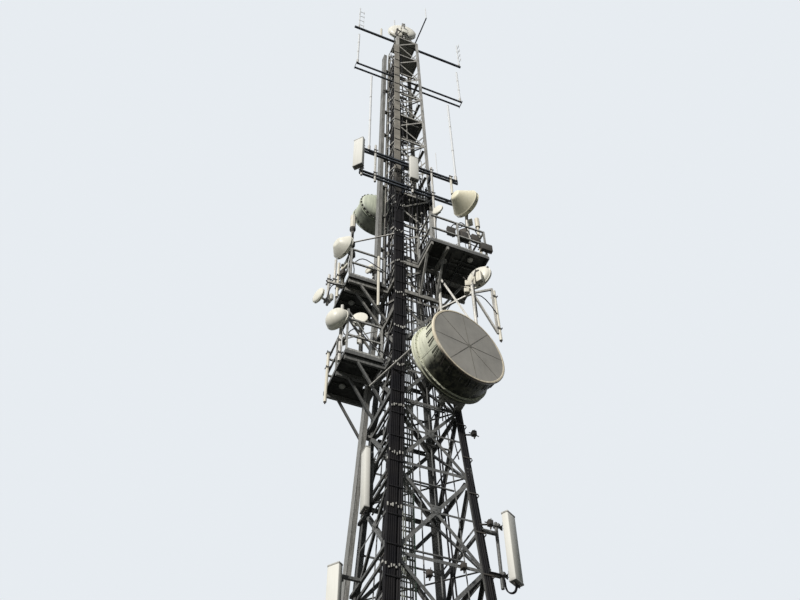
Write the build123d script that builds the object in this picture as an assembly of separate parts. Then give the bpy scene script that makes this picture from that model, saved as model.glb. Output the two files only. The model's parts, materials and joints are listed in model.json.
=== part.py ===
# Cell tower: a square steel lattice tower of angle bars, 34 m to the top of its lattice, with
# microwave dishes, drums, panel antennas, whip aerials and three work platforms.
# Millimetres, +Z up. Worked out from the tower's axis: +X along the front face, +Y to the back.
# When a piece is written, everything is moved so that the origin is the centre of the underside
# of the front left leg's base plate.
from build123d import *
import os
from math import cos, hypot, pi, radians, sin

os.makedirs("parts", exist_ok=True)

# Tower outline: outer widths at the heights where the slope changes
base_width = 2980.0
waist_height = 12700.0
waist_width = 1654.0
shoulder_height = 18000.0
shoulder_width = 1140.0
top_height = 33700.0
top_width = 860.0
lower_bays = 6
middle_bays = 3
upper_zigzags = 20
zigzags_per_girt = 2

# Steel sections
leg_flange = 150.0
leg_flanges = (150.0, 130.0, 105.0)
leg_thick = 16.0
brace_flange = 70.0
brace_thick = 8.0
upper_brace_flange = 55.0
light_brace_flange = 45.0
cope = 110.0
splice_setback = 95.0
seat_gap = 0.3
splice_gap = 0.3

# Feet
plate_size = 420.0
plate_thick = 25.0
anchor_spacing = 300.0
anchor_radius = 14.0
stiffener_height = 220.0
stiffener_reach = 110.0
stiffener_thick = 12.0

# Ladder, inside the back face
ladder_width = 340.0
ladder_offset = 60.0
ladder_rail_width = 50.0
ladder_rail_thick = 10.0
ladder_foot = 300.0
ladder_top = top_height - 2200.0
rung_pitch = 300.0
rung_size = 22.0

# Covered feeder tray, outside the left face by the back leg
tray_width = 220.0
tray_depth = 100.0
tray_stand_off = 110.0
tray_back_setting = 60.0
tray_foot = 400.0
tray_head = top_height - 400.0
tray_bracket_width = 60.0

# Feeder cables on the front left leg
feeder_radius = 19.0
feeders_in_row = 5
feeder_foot = 250.0
feeder_head = top_height - 900.0

# Platforms
deck_thick = 6.0
deck_frame_height = 100.0
deck_frame_thick = 8.0
rail_height = 1100.0
rail_tube = 42.0
beam_height = 120.0
beam_width = 60.0

stations = [
    (0.0, base_width),
    (waist_height, waist_width),
    (shoulder_height, shoulder_width),
    (top_height, top_width),
]
foot_setting = base_width / 2 - leg_flange / 2
face_quarters = {"front": 0, "right": 1, "back": 2, "left": 3}


def half_width(z):
    """Half of the tower's outer width at a height."""
    for (z0, w0), (z1, w1) in zip(stations, stations[1:]):
        if z <= z1:
            break
    return (w0 + (w1 - w0) * (z - z0) / (z1 - z0)) / 2


def length_half_width(length):
    """The same for one straight length of the tower, carried on past its ends."""
    (z0, w0), (z1, w1) = stations[length], stations[length + 1]
    return lambda z: (w0 + (w1 - w0) * (z - z0) / (z1 - z0)) / 2


def save(node, solids):
    """Write one node, moved from the tower's axis to the row's origin."""
    body = solids[0] if len(solids) == 1 else Compound(solids)
    export_step(Pos(foot_setting, foot_setting, 0) * body, f"parts/{node}.step")


def fuse(solids):
    """One body from solids that meet or cross."""
    body = solids[0]
    if len(solids) > 1:
        body = body.fuse(*solids[1:]).clean()
    return body.solids()


def turned(solids, quarters):
    """Copies turned about the tower's axis, to another face."""
    return [Rot(0, 0, 90 * quarters) * s for s in solids]


def prism(points, direction):
    """A flat outline pushed along a direction."""
    return Solid.extrude(Face(Wire.make_polygon([Vector(*p) for p in points], close=True)), Vector(*direction))


def box(x0, x1, y0, y1, z0, z1):
    return Pos((x0 + x1) / 2, (y0 + y1) / 2, (z0 + z1) / 2) * Solid.make_box(
        x1 - x0, y1 - y0, z1 - z0
    ).moved(Location((-(x1 - x0) / 2, -(y1 - y0) / 2, -(z1 - z0) / 2)))


def strut(start, end, width, depth):
    """A rectangular bar from point to point, its wide side level."""
    a = Vector(*start)
    b = Vector(*end)
    side = (b - a).cross(Vector(0, 0, 1))
    frame = Plane(a, x_dir=side if side.length > 1 else Vector(1, 0, 0), z_dir=b - a)
    outline = frame * Rectangle(width, depth)
    return Solid.extrude(outline.face(), b - a)


# The space inside one face of the tower, used to end a bar flush on the legs
def inside_face(quarters, gap=seat_gap):
    outline = [(0, -w / 2 - gap, z) for z, w in stations]
    outline += [(0, 0, top_height), (0, 0, 0)]
    side = prism([(x - base_width, y, z) for x, y, z in outline], (2 * base_width, 0, 0))
    return Rot(0, 0, 90 * quarters) * side


def seated(solids, face):
    """Bars cut off where they meet the plane of a face."""
    core = inside_face(face_quarters[face])
    return [piece for s in solids for piece in (s - core).solids()]


# Members of the front face. A place on it is (u, z): level distance from the middle, and height.
# Depth is measured level, inwards from the face.
def face_strip(width_at, corners, depth, thickness):
    points = [(u, -width_at(z) + depth, z) for u, z in corners]
    return prism(points, (0, thickness, 0))


def face_bar(width_at, start, end, flange, depth=leg_thick, lip=True):
    """An angle bar: one flange flat on the face, the other standing inwards from its upper edge."""
    (u0, z0), (u1, z1) = start, end
    run = hypot(u1 - u0, z1 - z0)
    du, dz = (u1 - u0) / run, (z1 - z0) / run
    nu, nz = (-dz, du) if du > 0 else (dz, -du)
    h = flange / 2
    flat = [
        (u0 - nu * h, z0 - nz * h),
        (u1 - nu * h, z1 - nz * h),
        (u1 + nu * h, z1 + nz * h),
        (u0 + nu * h, z0 + nz * h),
    ]
    pieces = [face_strip(width_at, flat, depth, brace_thick)]
    if lip:
        a, b = h - brace_thick, h
        s0, s1 = cope, run - cope
        edge = [
            (u0 + du * s0 + nu * a, z0 + dz * s0 + nz * a),
            (u0 + du * s1 + nu * a, z0 + dz * s1 + nz * a),
            (u0 + du * s1 + nu * b, z0 + dz * s1 + nz * b),
            (u0 + du * s0 + nu * b, z0 + dz * s0 + nz * b),
        ]
        pieces.append(face_strip(width_at, edge, depth, flange))
    return pieces


def brace_end(width_at, z):
    """Where a brace's line ends: the middle of the leg's flange."""
    return width_at(z) - leg_flange / 2


def levels(z0, z1, count):
    return [z0 + (z1 - z0) * i / count for i in range(count + 1)]


def crossed_bays(length, count):
    """Crossed diagonals with a level bar at each bay's foot and through each crossing."""
    width_at = length_half_width(length)
    z = levels(stations[length][0], stations[length + 1][0], count)
    bars = []
    for i, (z0, z1) in enumerate(zip(z, z[1:])):
        if i == 0 and length == 0:
            z0 = z0 + stiffener_height + plate_thick
        if i == count - 1:
            z1 = z1 - splice_setback
        e0, e1 = brace_end(width_at, z0), brace_end(width_at, z1)
        bars += face_bar(width_at, (-e0, z0), (e1, z1), brace_flange)
        bars += face_bar(width_at, (e0, z0), (-e1, z1), brace_flange)
        if i > 0 or length > 0:
            bars += face_bar(width_at, (-e0, z0), (e0, z0), brace_flange)
        middle = z0 + (z1 - z0) * e0 / (e0 + e1)
        em = brace_end(width_at, middle)
        bars += face_bar(width_at, (-em, middle), (em, middle), light_brace_flange, lip=False)
    return fuse(bars)


def zigzag_bays(length, count):
    """One diagonal after another, with a level bar at every second node."""
    width_at = length_half_width(length)
    z = levels(stations[length][0], stations[length + 1][0], count)
    bars = []
    for i, (z0, z1) in enumerate(zip(z, z[1:])):
        side = 1 if i % 2 == 0 else -1
        e0, e1 = brace_end(width_at, z0), brace_end(width_at, z1)
        bars += face_bar(width_at, (side * e0, z0), (-side * e1, z1), upper_brace_flange, lip=False)
    for girt in z[::zigzags_per_girt]:
        e0 = brace_end(width_at, girt)
        bars += face_bar(width_at, (-e0, girt), (e0, girt), brace_flange)
    return fuse(bars)


lower_levels = levels(0, waist_height, lower_bays)
middle_levels = levels(waist_height, shoulder_height, middle_bays)
upper_levels = levels(shoulder_height, top_height, upper_zigzags)[::zigzags_per_girt]


# Legs: angle bars with the corner outwards, in three lengths that meet at the waist and the
# shoulder, with a base plate and two stiffeners at the foot
def corner_outline(hw, z, sx, sy, flange, thick):
    steps = [(0, 0), (flange, 0), (flange, thick), (thick, thick), (thick, flange), (0, flange)]
    return [(sx * (hw - a), sy * (hw - b), z) for a, b in steps]


def leg(sx, sy):
    lengths = []
    for (z0, _), (z1, w1), flange in zip(stations, stations[1:], leg_flanges):
        z0 = max(z0 + splice_gap, plate_thick)
        h0, h1 = half_width(z0), w1 / 2
        outline = corner_outline(h0, z0, sx, sy, flange, leg_thick)
        lengths.append(prism(outline, (sx * (h1 - h0), sy * (h1 - h0), z1 - z0)))
    cx, cy = sx * foot_setting, sy * foot_setting
    half = plate_size / 2
    plate = box(cx - half, cx + half, cy - half, cy + half, 0, plate_thick)
    for ax in (-1, 1):
        for ay in (-1, 1):
            hole = Pos(cx + ax * anchor_spacing / 2, cy + ay * anchor_spacing / 2, 0)
            plate = plate - hole * Solid.make_cylinder(anchor_radius, plate_thick)
    h0, h1 = half_width(plate_thick), half_width(plate_thick + stiffener_height)
    stiffeners = []
    for along_x in (True, False):
        foot = h0 - leg_thick
        head = h1 - leg_thick
        rib = [(foot, plate_thick), (foot - stiffener_reach, plate_thick), (head, plate_thick + stiffener_height)]
        mid = foot_setting - leg_flange * 0.05
        if along_x:
            points = [(sx * a, sy * mid, z) for a, z in rib]
            stiffeners.append(prism(points, (0, sy * stiffener_thick, 0)))
        else:
            points = [(sx * mid, sy * a, z) for a, z in rib]
            stiffeners.append(prism(points, (sx * stiffener_thick, 0, 0)))
    return fuse([lengths[0]] + plate.solids() + stiffeners) + lengths[1:]


leg_sides = {
    "front_left": (-1, -1),
    "front_right": (1, -1),
    "back_right": (1, 1),
    "back_left": (-1, 1),
}
for name, (sx, sy) in leg_sides.items():
    save(f"leg_{name}", leg(sx, sy))

bracing = {
    "lower": crossed_bays(0, lower_bays),
    "middle": crossed_bays(1, middle_bays),
    "upper": zigzag_bays(2, upper_zigzags),
}
for section, bars in bracing.items():
    for face, quarters in face_quarters.items():
        save(f"bracing_{section}_{face}", turned(bars, quarters))


def along_leg(sx, sy, outline, z_from, z_to):
    """A piece that follows a leg, in its lengths. The outline is level, outwards from the corner."""
    cuts = [z_from] + [z for z, w in stations if z_from < z < z_to] + [z_to]
    pieces = []
    for z0, z1 in zip(cuts, cuts[1:]):
        z0 += splice_gap if z0 > z_from else 0
        h0, h1 = half_width(z0), half_width(z1)
        points = [(sx * (h0 + ox), sy * (h0 + oy), z0) for ox, oy in outline]
        pieces.append(prism(points, (sx * (h1 - h0), sy * (h1 - h0), z1 - z0)))
    return pieces


def oblong(ox0, ox1, oy0, oy1):
    return [(ox0, oy0), (ox1, oy0), (ox1, oy1), (ox0, oy1)]


def ring_outline(cx, cy, radius):
    """An eight-sided outline, flat to flat across twice the radius."""
    reach = radius / cos(radians(22.5))
    turns = [radians(22.5 + 45 * i) for i in range(8)]
    return [(cx + reach * cos(a), cy + reach * sin(a)) for a in turns]


def tube(start, end, radius):
    """A straight tube, drawn with eight sides to keep the model light."""
    a = Vector(*start)
    b = Vector(*end)
    frame = Plane(a, z_dir=b - a)
    points = [frame.from_local_coords(Vector(x, y, 0)) for x, y in ring_outline(0, 0, radius)]
    return Solid.extrude(Face(Wire.make_polygon(points, close=True)), b - a)


# Level bracing across the tower, from leg to leg
def plan_cross(z, width, thickness, lift):
    reach = half_width(z + lift + thickness) - leg_thick
    z0 = z + lift
    core = box(-reach, reach, -reach, reach, z0, z0 + thickness)
    bars = []
    for turn in (45, 135):
        bar = Rot(0, 0, turn) * box(-2 * reach, 2 * reach, -width / 2, width / 2, z0, z0 + thickness)
        bars += (bar & core).solids()
    return fuse(bars)


plan_width = 44.0
plan_lift = 60.0
plan_levels = lower_levels[1:] + middle_levels[1:-1] + upper_levels[1:-1:2]
save("plan_bracing", [s for z in plan_levels for s in plan_cross(z, plan_width, brace_thick, plan_lift)])


# Rest plates inside the tower, on the level bars, clear of the ladder
rest_thick = 6.0
rest_clear = leg_thick + brace_thick + 6.0
ladder_depth = leg_thick + brace_flange
ladder_clear = ladder_depth + ladder_rail_width + 20.0
rest_levels = [upper_levels[3], upper_levels[6], upper_levels[9], upper_levels[10]]


def rest_plate(z):
    z0 = z + brace_flange / 2
    reach = half_width(z0 + rest_thick) - rest_clear
    back = half_width(z0 + rest_thick) - ladder_clear
    return box(-reach, reach, -reach, back, z0, z0 + rest_thick)


save("rest_plates", [rest_plate(z) for z in rest_levels])


# Ladder: flat rails against the level bars, with square rungs between them
def ladder():
    lengths = []
    cuts = [ladder_foot] + [z for z, w in stations if ladder_foot < z < ladder_top] + [ladder_top]
    count = int((ladder_top - ladder_foot) / rung_pitch)
    rungs = [ladder_foot + rung_pitch * (i + 0.5) for i in range(count)]
    h = rung_size / 2
    x0 = -ladder_offset - ladder_width / 2
    x1 = -ladder_offset + ladder_width / 2
    for z0, z1 in zip(cuts, cuts[1:]):
        z0 += splice_gap
        y0 = -half_width(z0) + ladder_depth
        y1 = -half_width(z1) + ladder_depth
        pieces = []
        for inner, outer in ((x0, x0 - ladder_rail_thick), (x1, x1 + ladder_rail_thick)):
            points = [
                (inner, y0, z0),
                (outer, y0, z0),
                (outer, y0 + ladder_rail_width, z0),
                (inner, y0 + ladder_rail_width, z0),
            ]
            pieces.append(prism(points, (0, y1 - y0, z1 - z0)))
        for z in rungs:
            if z0 + h < z < z1 - h:
                y = -half_width(z) + ladder_depth + ladder_rail_width / 2
                pieces.append(box(x0, x1, y - h, y + h, z - h, z + h))
        lengths += fuse(pieces)
    return turned(lengths, face_quarters["back"])


save("ladder", ladder())


# Feeder tray and the brackets that hold it off the back left leg
def feeder_tray():
    inner = tray_stand_off
    outer = inner + tray_depth
    y1 = -tray_back_setting + tray_width / 2
    y0 = -tray_back_setting - tray_width / 2
    pieces = along_leg(-1, 1, oblong(inner, outer, y0, y1), tray_foot, tray_head)
    lid = oblong(outer, outer + 4, y0 - 8, y1 + 8)
    pieces += along_leg(-1, 1, lid, tray_foot, tray_head)
    half = tray_bracket_width / 2
    on_leg = oblong(seat_gap, inner, -leg_flange + 20, -20)
    for z in lower_levels[1:-1] + middle_levels[1:-1] + upper_levels[1:-1]:
        pieces += along_leg(-1, 1, on_leg, z - half, z + half)
    return fuse(pieces)


save("feeder_tray", feeder_tray())


# Feeder cables: two rows of straight runs strapped to the front of the front left leg
feeder_step = 2 * feeder_radius + seat_gap
feeder_outer = 95.0
feeder_box_height = 500.0
front_row_head = upper_levels[4] - 300.0
clamp_thick = 6.0


def feeder_places(row):
    oy = seat_gap + feeder_radius + row * feeder_step
    return [(feeder_outer - feeder_radius - i * feeder_step, oy) for i in range(feeders_in_row)]


feeders = []
for row, head in ((0, feeder_head), (1, front_row_head)):
    for ox, oy in feeder_places(row):
        outline = ring_outline(ox, oy, feeder_radius)
        feeders += fuse(along_leg(-1, -1, outline, plate_thick + feeder_box_height, head))
save("feeder_cables", feeders)

bundle_depth = 2 * feeder_step + seat_gap
bundle_left = feeder_outer + seat_gap
bundle_right = feeder_outer - feeders_in_row * feeder_step
# The box where the cables end above the foot
box_outline = oblong(bundle_right, bundle_left, seat_gap, bundle_depth + 20)
save("feeder_box", along_leg(-1, -1, box_outline, plate_thick, plate_thick + feeder_box_height))


# Work platforms: a plate on an edge frame with bearers, on a frame bolted to two legs
def deck(outline, z, bearers, notch=None):
    """outline is the plan; each bearer is a plan box under the plate."""
    under = z - deck_thick
    face = Face(Wire.make_polygon([Vector(x, y, under) for x, y in outline], close=True))
    inner = offset(face, amount=-deck_frame_thick).face()
    pieces = [Solid.extrude(face, Vector(0, 0, deck_thick))]
    down = Vector(0, 0, -deck_frame_height)
    pieces += (Solid.extrude(face, down) - Solid.extrude(inner, down)).solids()
    for x0, x1, y0, y1 in bearers:
        pieces.append(box(x0, x1, y0, y1, under - deck_frame_height * 0.6, under))
    body = fuse(pieces)
    if notch:
        x0, x1, y0, y1 = notch
        hole = box(x0, x1, y0, y1, under - deck_frame_height, z)
        body = [piece for s in body for piece in (s - hole).solids()]
    return body


def guard_rail(path, z):
    """Posts along a path on the deck, with a top rail, a knee rail and a toe board."""
    half = rail_tube / 2
    pieces = []
    for x, y in path:
        pieces.append(box(x - half, x + half, y - half, y + half, z, z + rail_height))
    for (xa, ya), (xb, yb) in zip(path, path[1:]):
        x0, x1 = min(xa, xb) - half, max(xa, xb) + half
        y0, y1 = min(ya, yb) - half, max(ya, yb) + half
        for height in (rail_height, rail_height / 2):
            pieces.append(box(x0, x1, y0, y1, z + height - rail_tube, z + height))
        if x1 - x0 > y1 - y0:
            pieces.append(box(x0, x1, ya - toe_thick / 2, ya + toe_thick / 2, z, z + toe_height))
        else:
            pieces.append(box(xa - toe_thick / 2, xa + toe_thick / 2, y0, y1, z, z + toe_height))
    return fuse(pieces)


toe_height = 100.0
toe_thick = 6.0
rail_inset = 40.0


def wall_frame(face, reach, along0, along1, z, arms, drop):
    """Two beams across the legs of one face, with arms and knee braces, for a deck whose top is z.
    Places are worked out on the left face, along +Y, and then turned to the face."""
    top = z - deck_thick - deck_frame_height
    low = top - beam_height
    knee = top - drop
    pieces = []
    for z0, z1 in ((low, top), (knee - beam_height, knee)):
        outer = -half_width(z0) - beam_width
        pieces.append(box(outer, -half_width(z1) + beam_width, along0, along1, z0, z1))
    for y in arms:
        half = beam_width / 2
        pieces.append(box(-reach, -half_width(low) - half, y - half, y + half, low, top))
        knee_start = (-half_width(knee) - half, y, knee - beam_height / 2)
        knee_end = (-reach + knee_inset, y, low + beam_width / 2)
        pieces.append(strut(knee_start, knee_end, beam_width - 10, beam_width - 10))
    turn = face_quarters[face] - face_quarters["left"]
    return turned(seated(fuse(pieces), "left"), turn)


knee_inset = 300.0

# The two platforms on the left face, with a notch that the feeder tray passes through
tray_room = 30.0
deck_setting = 125.0
left_decks = {
    "lower_platform": {"top": 16000.0, "outer": 1700.0, "front": -250.0, "back": 1200.0},
    "middle_platform": {"top": 18900.0, "outer": 1650.0, "front": -100.0, "back": 1100.0},
}
tall_post = 1400.0
arm_inset = 90.0
knee_drop = 1150.0
beam_end_gap = 5.0
lower_frame = []
for name, d in left_decks.items():
    z, x0, y0, y1 = d["top"], -d["outer"], d["front"], d["back"]
    hw = half_width(z)
    x1 = -hw - deck_setting
    low = half_width(z - deck_frame_height)
    notch_x0 = -low - tray_stand_off - tray_depth - tray_room
    notch_y0 = hw - tray_back_setting - tray_width / 2 - tray_room
    notch_y1 = low - tray_back_setting + tray_width / 2 + tray_room
    outline = [(x0, y0), (x1, y0), (x1, y1), (x0, y1)]
    middle = (y0 + notch_y0) / 2
    bearers = [
        (x0, x1, middle - 20, middle + 20),
        (x0, notch_x0 - 10, (notch_y0 + notch_y1) / 2 - 20, (notch_y0 + notch_y1) / 2 + 20),
    ]
    notch = (notch_x0, x1 + 10, notch_y0, notch_y1)
    save(f"{name}_deck", deck(outline, z, bearers, notch))
    a, b, c, e = x0 + rail_inset, x1 - rail_inset, y0 + rail_inset, y1 - rail_inset
    rail = guard_rail([(b, c), (a, c), (a, (c + e) / 2), (a, e), (b, e)], z)
    if name == "lower_platform":
        half = rail_tube / 2
        rail.append(box(a - half, a + half, c - half, c + half, z, z + tall_post))
        rail.append(strut((a, c, z + tall_post - 40), (b + 60, c, z + half), half, half))
        rail.append(strut((a, c, z + 0.35 * rail_height), (b - 120, c, z + 0.85 * rail_height), half, half))
    save(f"{name}_rail", fuse(rail))
    arms = [y0 + arm_inset, notch_y0 - arm_inset, y1 - arm_inset]
    beam_front = -half_width(z) + beam_end_gap
    frame = wall_frame("left", -x0 - 20, beam_front, y1, z, arms, knee_drop)
    save(f"{name}_frame", frame)
    lower_frame = lower_frame or frame

# The platform round the front right leg
right_top = 19500.0
right_front = 1450.0
right_outer = 1550.0
right_left = -50.0
right_back = 50.0
hw = half_width(right_top - deck_frame_height - beam_height)
inner = hw + beam_width + 10
outline = [
    (right_left, -right_front),
    (right_outer, -right_front),
    (right_outer, right_back),
    (inner, right_back),
    (inner, -inner),
    (right_left, -inner),
]
bearers = [
    (right_left, right_outer, -inner - 300, -inner - 260),
    (inner + 300, inner + 340, -right_front, right_back),
]
save("right_platform_deck", deck(outline, right_top, bearers))
path = [
    (right_left + rail_inset, -inner - rail_inset),
    (right_left + rail_inset, -right_front + rail_inset),
    ((right_left + right_outer) / 2, -right_front + rail_inset),
    (right_outer - rail_inset, -right_front + rail_inset),
    (right_outer - rail_inset, (right_back - right_front) / 2),
    (right_outer - rail_inset, right_back - rail_inset),
    (inner + rail_inset, right_back - rail_inset),
]
save("right_platform_rail", guard_rail(path, right_top))
# across the front face the beams start beside the feeder clamps
beam_end = half_width(right_top) - beam_end_gap
front_start = hw + feeder_outer - feeders_in_row * feeder_step - 4 * clamp_thick
arms = [-420.0, 0.0]
front_frame = wall_frame("front", right_front - 20, -beam_end, front_start, right_top, arms, knee_drop)
arms = [0.0, 420.0]
right_frame = wall_frame("right", right_outer - 20, -beam_end, beam_end, right_top, arms, knee_drop)
save("right_platform_frame", front_frame + right_frame)


# Booms: pairs of square tubes that carry the aerials out to both sides
boom_tube = 50.0


def level_tube(x0, x1, y, z, size):
    return box(x0, x1, y - size / 2, y + size / 2, z - size / 2, z + size / 2)


# one across the top plate
top_plate = top_height + brace_flange / 2 + rest_thick
top_boom_size = 70.0
top_boom_y = -150.0
top_boom_z = top_plate + top_boom_size / 2
top_boom_left = -2000.0
top_boom_right = 2335.0
head_arm = (345.0, -1450.0)
pieces = [level_tube(top_boom_left, top_boom_right, top_boom_y, top_boom_z, top_boom_size)]
pieces.append(box(head_arm[0] - 20, head_arm[0] + 20, head_arm[1], top_boom_y, top_boom_z - 20, top_boom_z + 20))
save("top_boom", fuse(pieces))

# one pair through the lattice, lying on its level bars
upper_boom_z = upper_levels[8] + brace_flange / 2 + boom_tube / 2
upper_boom_ys = (-200.0, -20.0)
upper_boom_left = -1860.0
upper_boom_right = 2150.0
pieces = [level_tube(upper_boom_left, upper_boom_right, y, upper_boom_z, boom_tube) for y in upper_boom_ys]
for x in (upper_boom_left, upper_boom_right):
    y0, y1 = upper_boom_ys
    pieces.append(box(x - 5, x + 5, y0 - boom_tube, y1 + boom_tube, upper_boom_z - 40, upper_boom_z + 40))
save("upper_boom", fuse(pieces))

# two pairs in front of the tower, held off its front legs by plates
front_boom_y = -770.0
front_boom_gap = 150.0
stand_off_height = 220.0
front_booms = {
    "middle_boom": {"z": 23830.0, "left": -1740.0, "right": 1270.0},
    "lower_boom": {"z": 22600.0, "left": -1740.0, "right": 1300.0},
}
for name, b in front_booms.items():
    pieces = []
    for z in (b["z"] - front_boom_gap / 2, b["z"] + front_boom_gap / 2):
        pieces.append(level_tube(b["left"], b["right"], front_boom_y, z, boom_tube))
    for x in (b["left"], b["right"]):
        half = front_boom_gap / 2 + boom_tube / 2
        y0, y1 = front_boom_y - boom_tube / 2, front_boom_y + boom_tube / 2
        pieces.append(box(x - 5, x + 5, y0, y1, b["z"] - half, b["z"] + half))
    hw = half_width(b["z"])
    strip = feeders_in_row * feeder_step - feeder_outer + 4 * clamp_thick
    for x0, x1 in ((-hw + strip, -hw + strip + 25), (hw - 80, hw - 30)):
        z0, z1 = b["z"] - stand_off_height / 2, b["z"] + stand_off_height / 2
        pieces.append(box(x0, x1, front_boom_y, -hw + 50, z0, z1))
    save(name, seated(fuse(pieces), "front"))


# Dishes and drums, as rings of flat panels from a profile. The place is the middle of the front.
def ringed(place, facing, profile, sides):
    """profile is (radius, distance forward of the place) from the front to the back."""
    start = Plane(origin=Vector(*place), x_dir=Vector(0, 0, 1), z_dir=Vector(facing[0], facing[1], 0))
    turns = [2 * pi * i / sides for i in range(sides)]
    rings = [[start.from_local_coords(Vector(r * cos(t), r * sin(t), f)) for t in turns] for r, f in profile]
    outlines = [rings[0], rings[-1]]
    for near, far in zip(rings, rings[1:]):
        outlines += [[near[i - 1], near[i], far[i], far[i - 1]] for i in range(sides)]
    return Solid(Shell([Face(Wire.make_polygon(corners, close=True)) for corners in outlines]))


dish_sides = 28
drum_sides = 48


def dish_profile(radius, dome, depth, back, hub):
    """A radome of two slopes on a short shroud, and a bowl that narrows to the hub."""
    return [
        (radius * 0.12, dome),
        (radius * 0.55, dome * 0.72),
        (radius, 0),
        (radius, -depth),
        (radius * 0.9, -depth - back * 0.3),
        (hub, -depth - back),
    ]


def drum_profile(radius, depth, lip, back, hub):
    """A deep drum with a flat front, a rolled rim, two joint rings at the back and a bowl behind."""
    return [
        (radius, 0),
        (radius, -lip),
        (radius - lip, -lip - 15),
        (radius - lip, -depth + 3 * lip),
        (radius + lip / 2, -depth + 3 * lip),
        (radius + lip / 2, -depth + 2 * lip),
        (radius - lip, -depth + 2 * lip),
        (radius - lip, -depth + lip),
        (radius + lip / 2, -depth + lip),
        (radius + lip / 2, -depth),
        (radius * 0.62, -depth - back * 0.72),
        (hub, -depth - back),
    ]


def ahead(place, facing, distance, rise=0.0):
    """A point in front of a place along its facing, or behind it where the distance is negative."""
    size = hypot(facing[0], facing[1])
    x, y, z = place
    return (x + facing[0] / size * distance, y + facing[1] / size * distance, z + rise)


# The big drum in front of the right leg, on a pipe held by two arms
drum_z = 15290.0
drum_place = (470.0, -half_width(drum_z) - 1200.0, drum_z)
drum_facing = (0.24, -0.971)
drum_radius = 960.0
drum_depth = 720.0
drum_lip = 40.0
drum_back = 160.0
drum_hub = 160.0
pipe_radius = 57.0
drum_body = ringed(
    drum_place, drum_facing, drum_profile(drum_radius, drum_depth, drum_lip, drum_back, drum_hub), drum_sides
)
save("big_drum", [drum_body])
hub_reach = drum_depth + drum_back
bracket_length = 50.0
pipe_place = ahead(drum_place, drum_facing, -hub_reach - bracket_length - pipe_radius)
pipe_low = drum_place[2] - 900.0
pipe_high = drum_place[2] + 900.0
pieces = [tube((pipe_place[0], pipe_place[1], pipe_low), (pipe_place[0], pipe_place[1], pipe_high), pipe_radius)]
pieces.append(strut(ahead(drum_place, drum_facing, -hub_reach), pipe_place, 260.0, 300.0))
for z in (pipe_low + 150, pipe_high - 150):
    hw = half_width(z)
    pieces.append(box(hw - leg_flange + 10, hw - 10, pipe_place[1], -hw + 60, z - 50, z + 50))
    x0, x1 = min(pipe_place[0], hw - leg_flange + 10), max(pipe_place[0], hw - 10)
    pieces.append(box(x0 - 70, x1, pipe_place[1] - 70, pipe_place[1] + 20, z - 50, z + 50))
save("drum_mount", seated(fuse(pieces), "front"))


def trimmed(solid, others):
    """The longest piece of a bar that is left between the solids that it runs into."""
    for other in others:
        solid = max((solid - other).solids(), key=lambda piece: piece.volume)
    return solid


# A stay from the drum's rear ring to the front knee brace of the lower platform
stay_radius = 20.0
stay_start = (-600.0, drum_place[1] + 460.0, drum_z)
stay_end = (-half_width(drum_z) - 375.0, left_decks["lower_platform"]["front"] + arm_inset, drum_z - 140.0)
stay = tube(stay_start, stay_end, stay_radius)
save("drum_stay", [trimmed(stay, [drum_body] + lower_frame)])


# The other dishes. Each has its own size, pole and facing; its place follows from its pole.
bracket_room = 60.0
dish_pole_radius = 38.0


def held_dish(
    pole_at, z, facing, dish, pole_low, pole_high, radius=dish_pole_radius, bracket=70.0, room=bracket_room
):
    """A dish held on a pole, and the pole with the bracket that reaches to the dish's back."""
    start = (pole_at[0], pole_at[1], z)
    back = ahead(start, facing, radius + room)
    place = ahead(back, facing, dish["depth"] + dish["back"])
    pole = [tube((*pole_at, pole_low), (*pole_at, pole_high), radius)]
    pole.append(strut(back, start, bracket, bracket))
    return ringed(place, facing, dish_profile(**dish), dish_sides), fuse(pole)


lower_deck = left_decks["lower_platform"]
middle_deck = left_decks["middle_platform"]
dish_poles = []

dish = {"radius": 475.0, "dome": 150.0, "depth": 110.0, "back": 90.0, "hub": 90.0}
body, pole = held_dish((1280.0, -1030.0), right_top + 2520.0, (-0.67, -0.74), dish, right_top, right_top + 2900.0)
save("upper_right_dish", [body])
dish_poles += pole

dish = {"radius": 310.0, "dome": 150.0, "depth": 80.0, "back": 60.0, "hub": 70.0}
tall_pole_at = (-middle_deck["outer"] + 130.0, 245.0)
tall_pole_top = middle_deck["top"] + 2400.0
body, pole = held_dish(
    tall_pole_at, middle_deck["top"] + 1370.0, (-0.97, -0.24), dish, middle_deck["top"], tall_pole_top
)
save("left_dome_dish", [body])
stay_z = middle_deck["top"] + 1800.0
stay_seat = (-half_width(stay_z) + 40, -half_width(stay_z) + 50, stay_z)
stay = tube((*tall_pole_at, stay_z), stay_seat, stay_radius)
dish_poles += seated(fuse(pole + [stay]), "left")

dish = {"radius": 300.0, "dome": 230.0, "depth": 40.0, "back": 40.0, "hub": 80.0}
pole_at = (-lower_deck["outer"] - dish_pole_radius - seat_gap, 20.0)
low, high = lower_deck["top"] - 150.0, lower_deck["top"] + 1750.0
body, pole = held_dish(pole_at, lower_deck["top"] + 1080.0, (-0.8, -0.6), dish, low, high)
save("left_shroud_dish", [body])
dish_poles += pole

dish = {"radius": 190.0, "dome": 10.0, "depth": 120.0, "back": 50.0, "hub": 60.0}
small_drum, pole = held_dish(
    (-1160.0, 300.0), lower_deck["top"] + 1560.0, (-0.45, -0.89), dish, lower_deck["top"], lower_deck["top"] + 1810.0
)
dish_poles += pole

dish = {"radius": 140.0, "dome": 20.0, "depth": 40.0, "back": 30.0, "hub": 40.0}
deck_dish, pole = held_dish(
    (-945.0, 130.0), middle_deck["top"] + 670.0, (-0.92, -0.39), dish, middle_deck["top"],
    middle_deck["top"] + 900.0, radius=30.0, bracket=40.0,
)
dish_poles += pole

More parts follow.
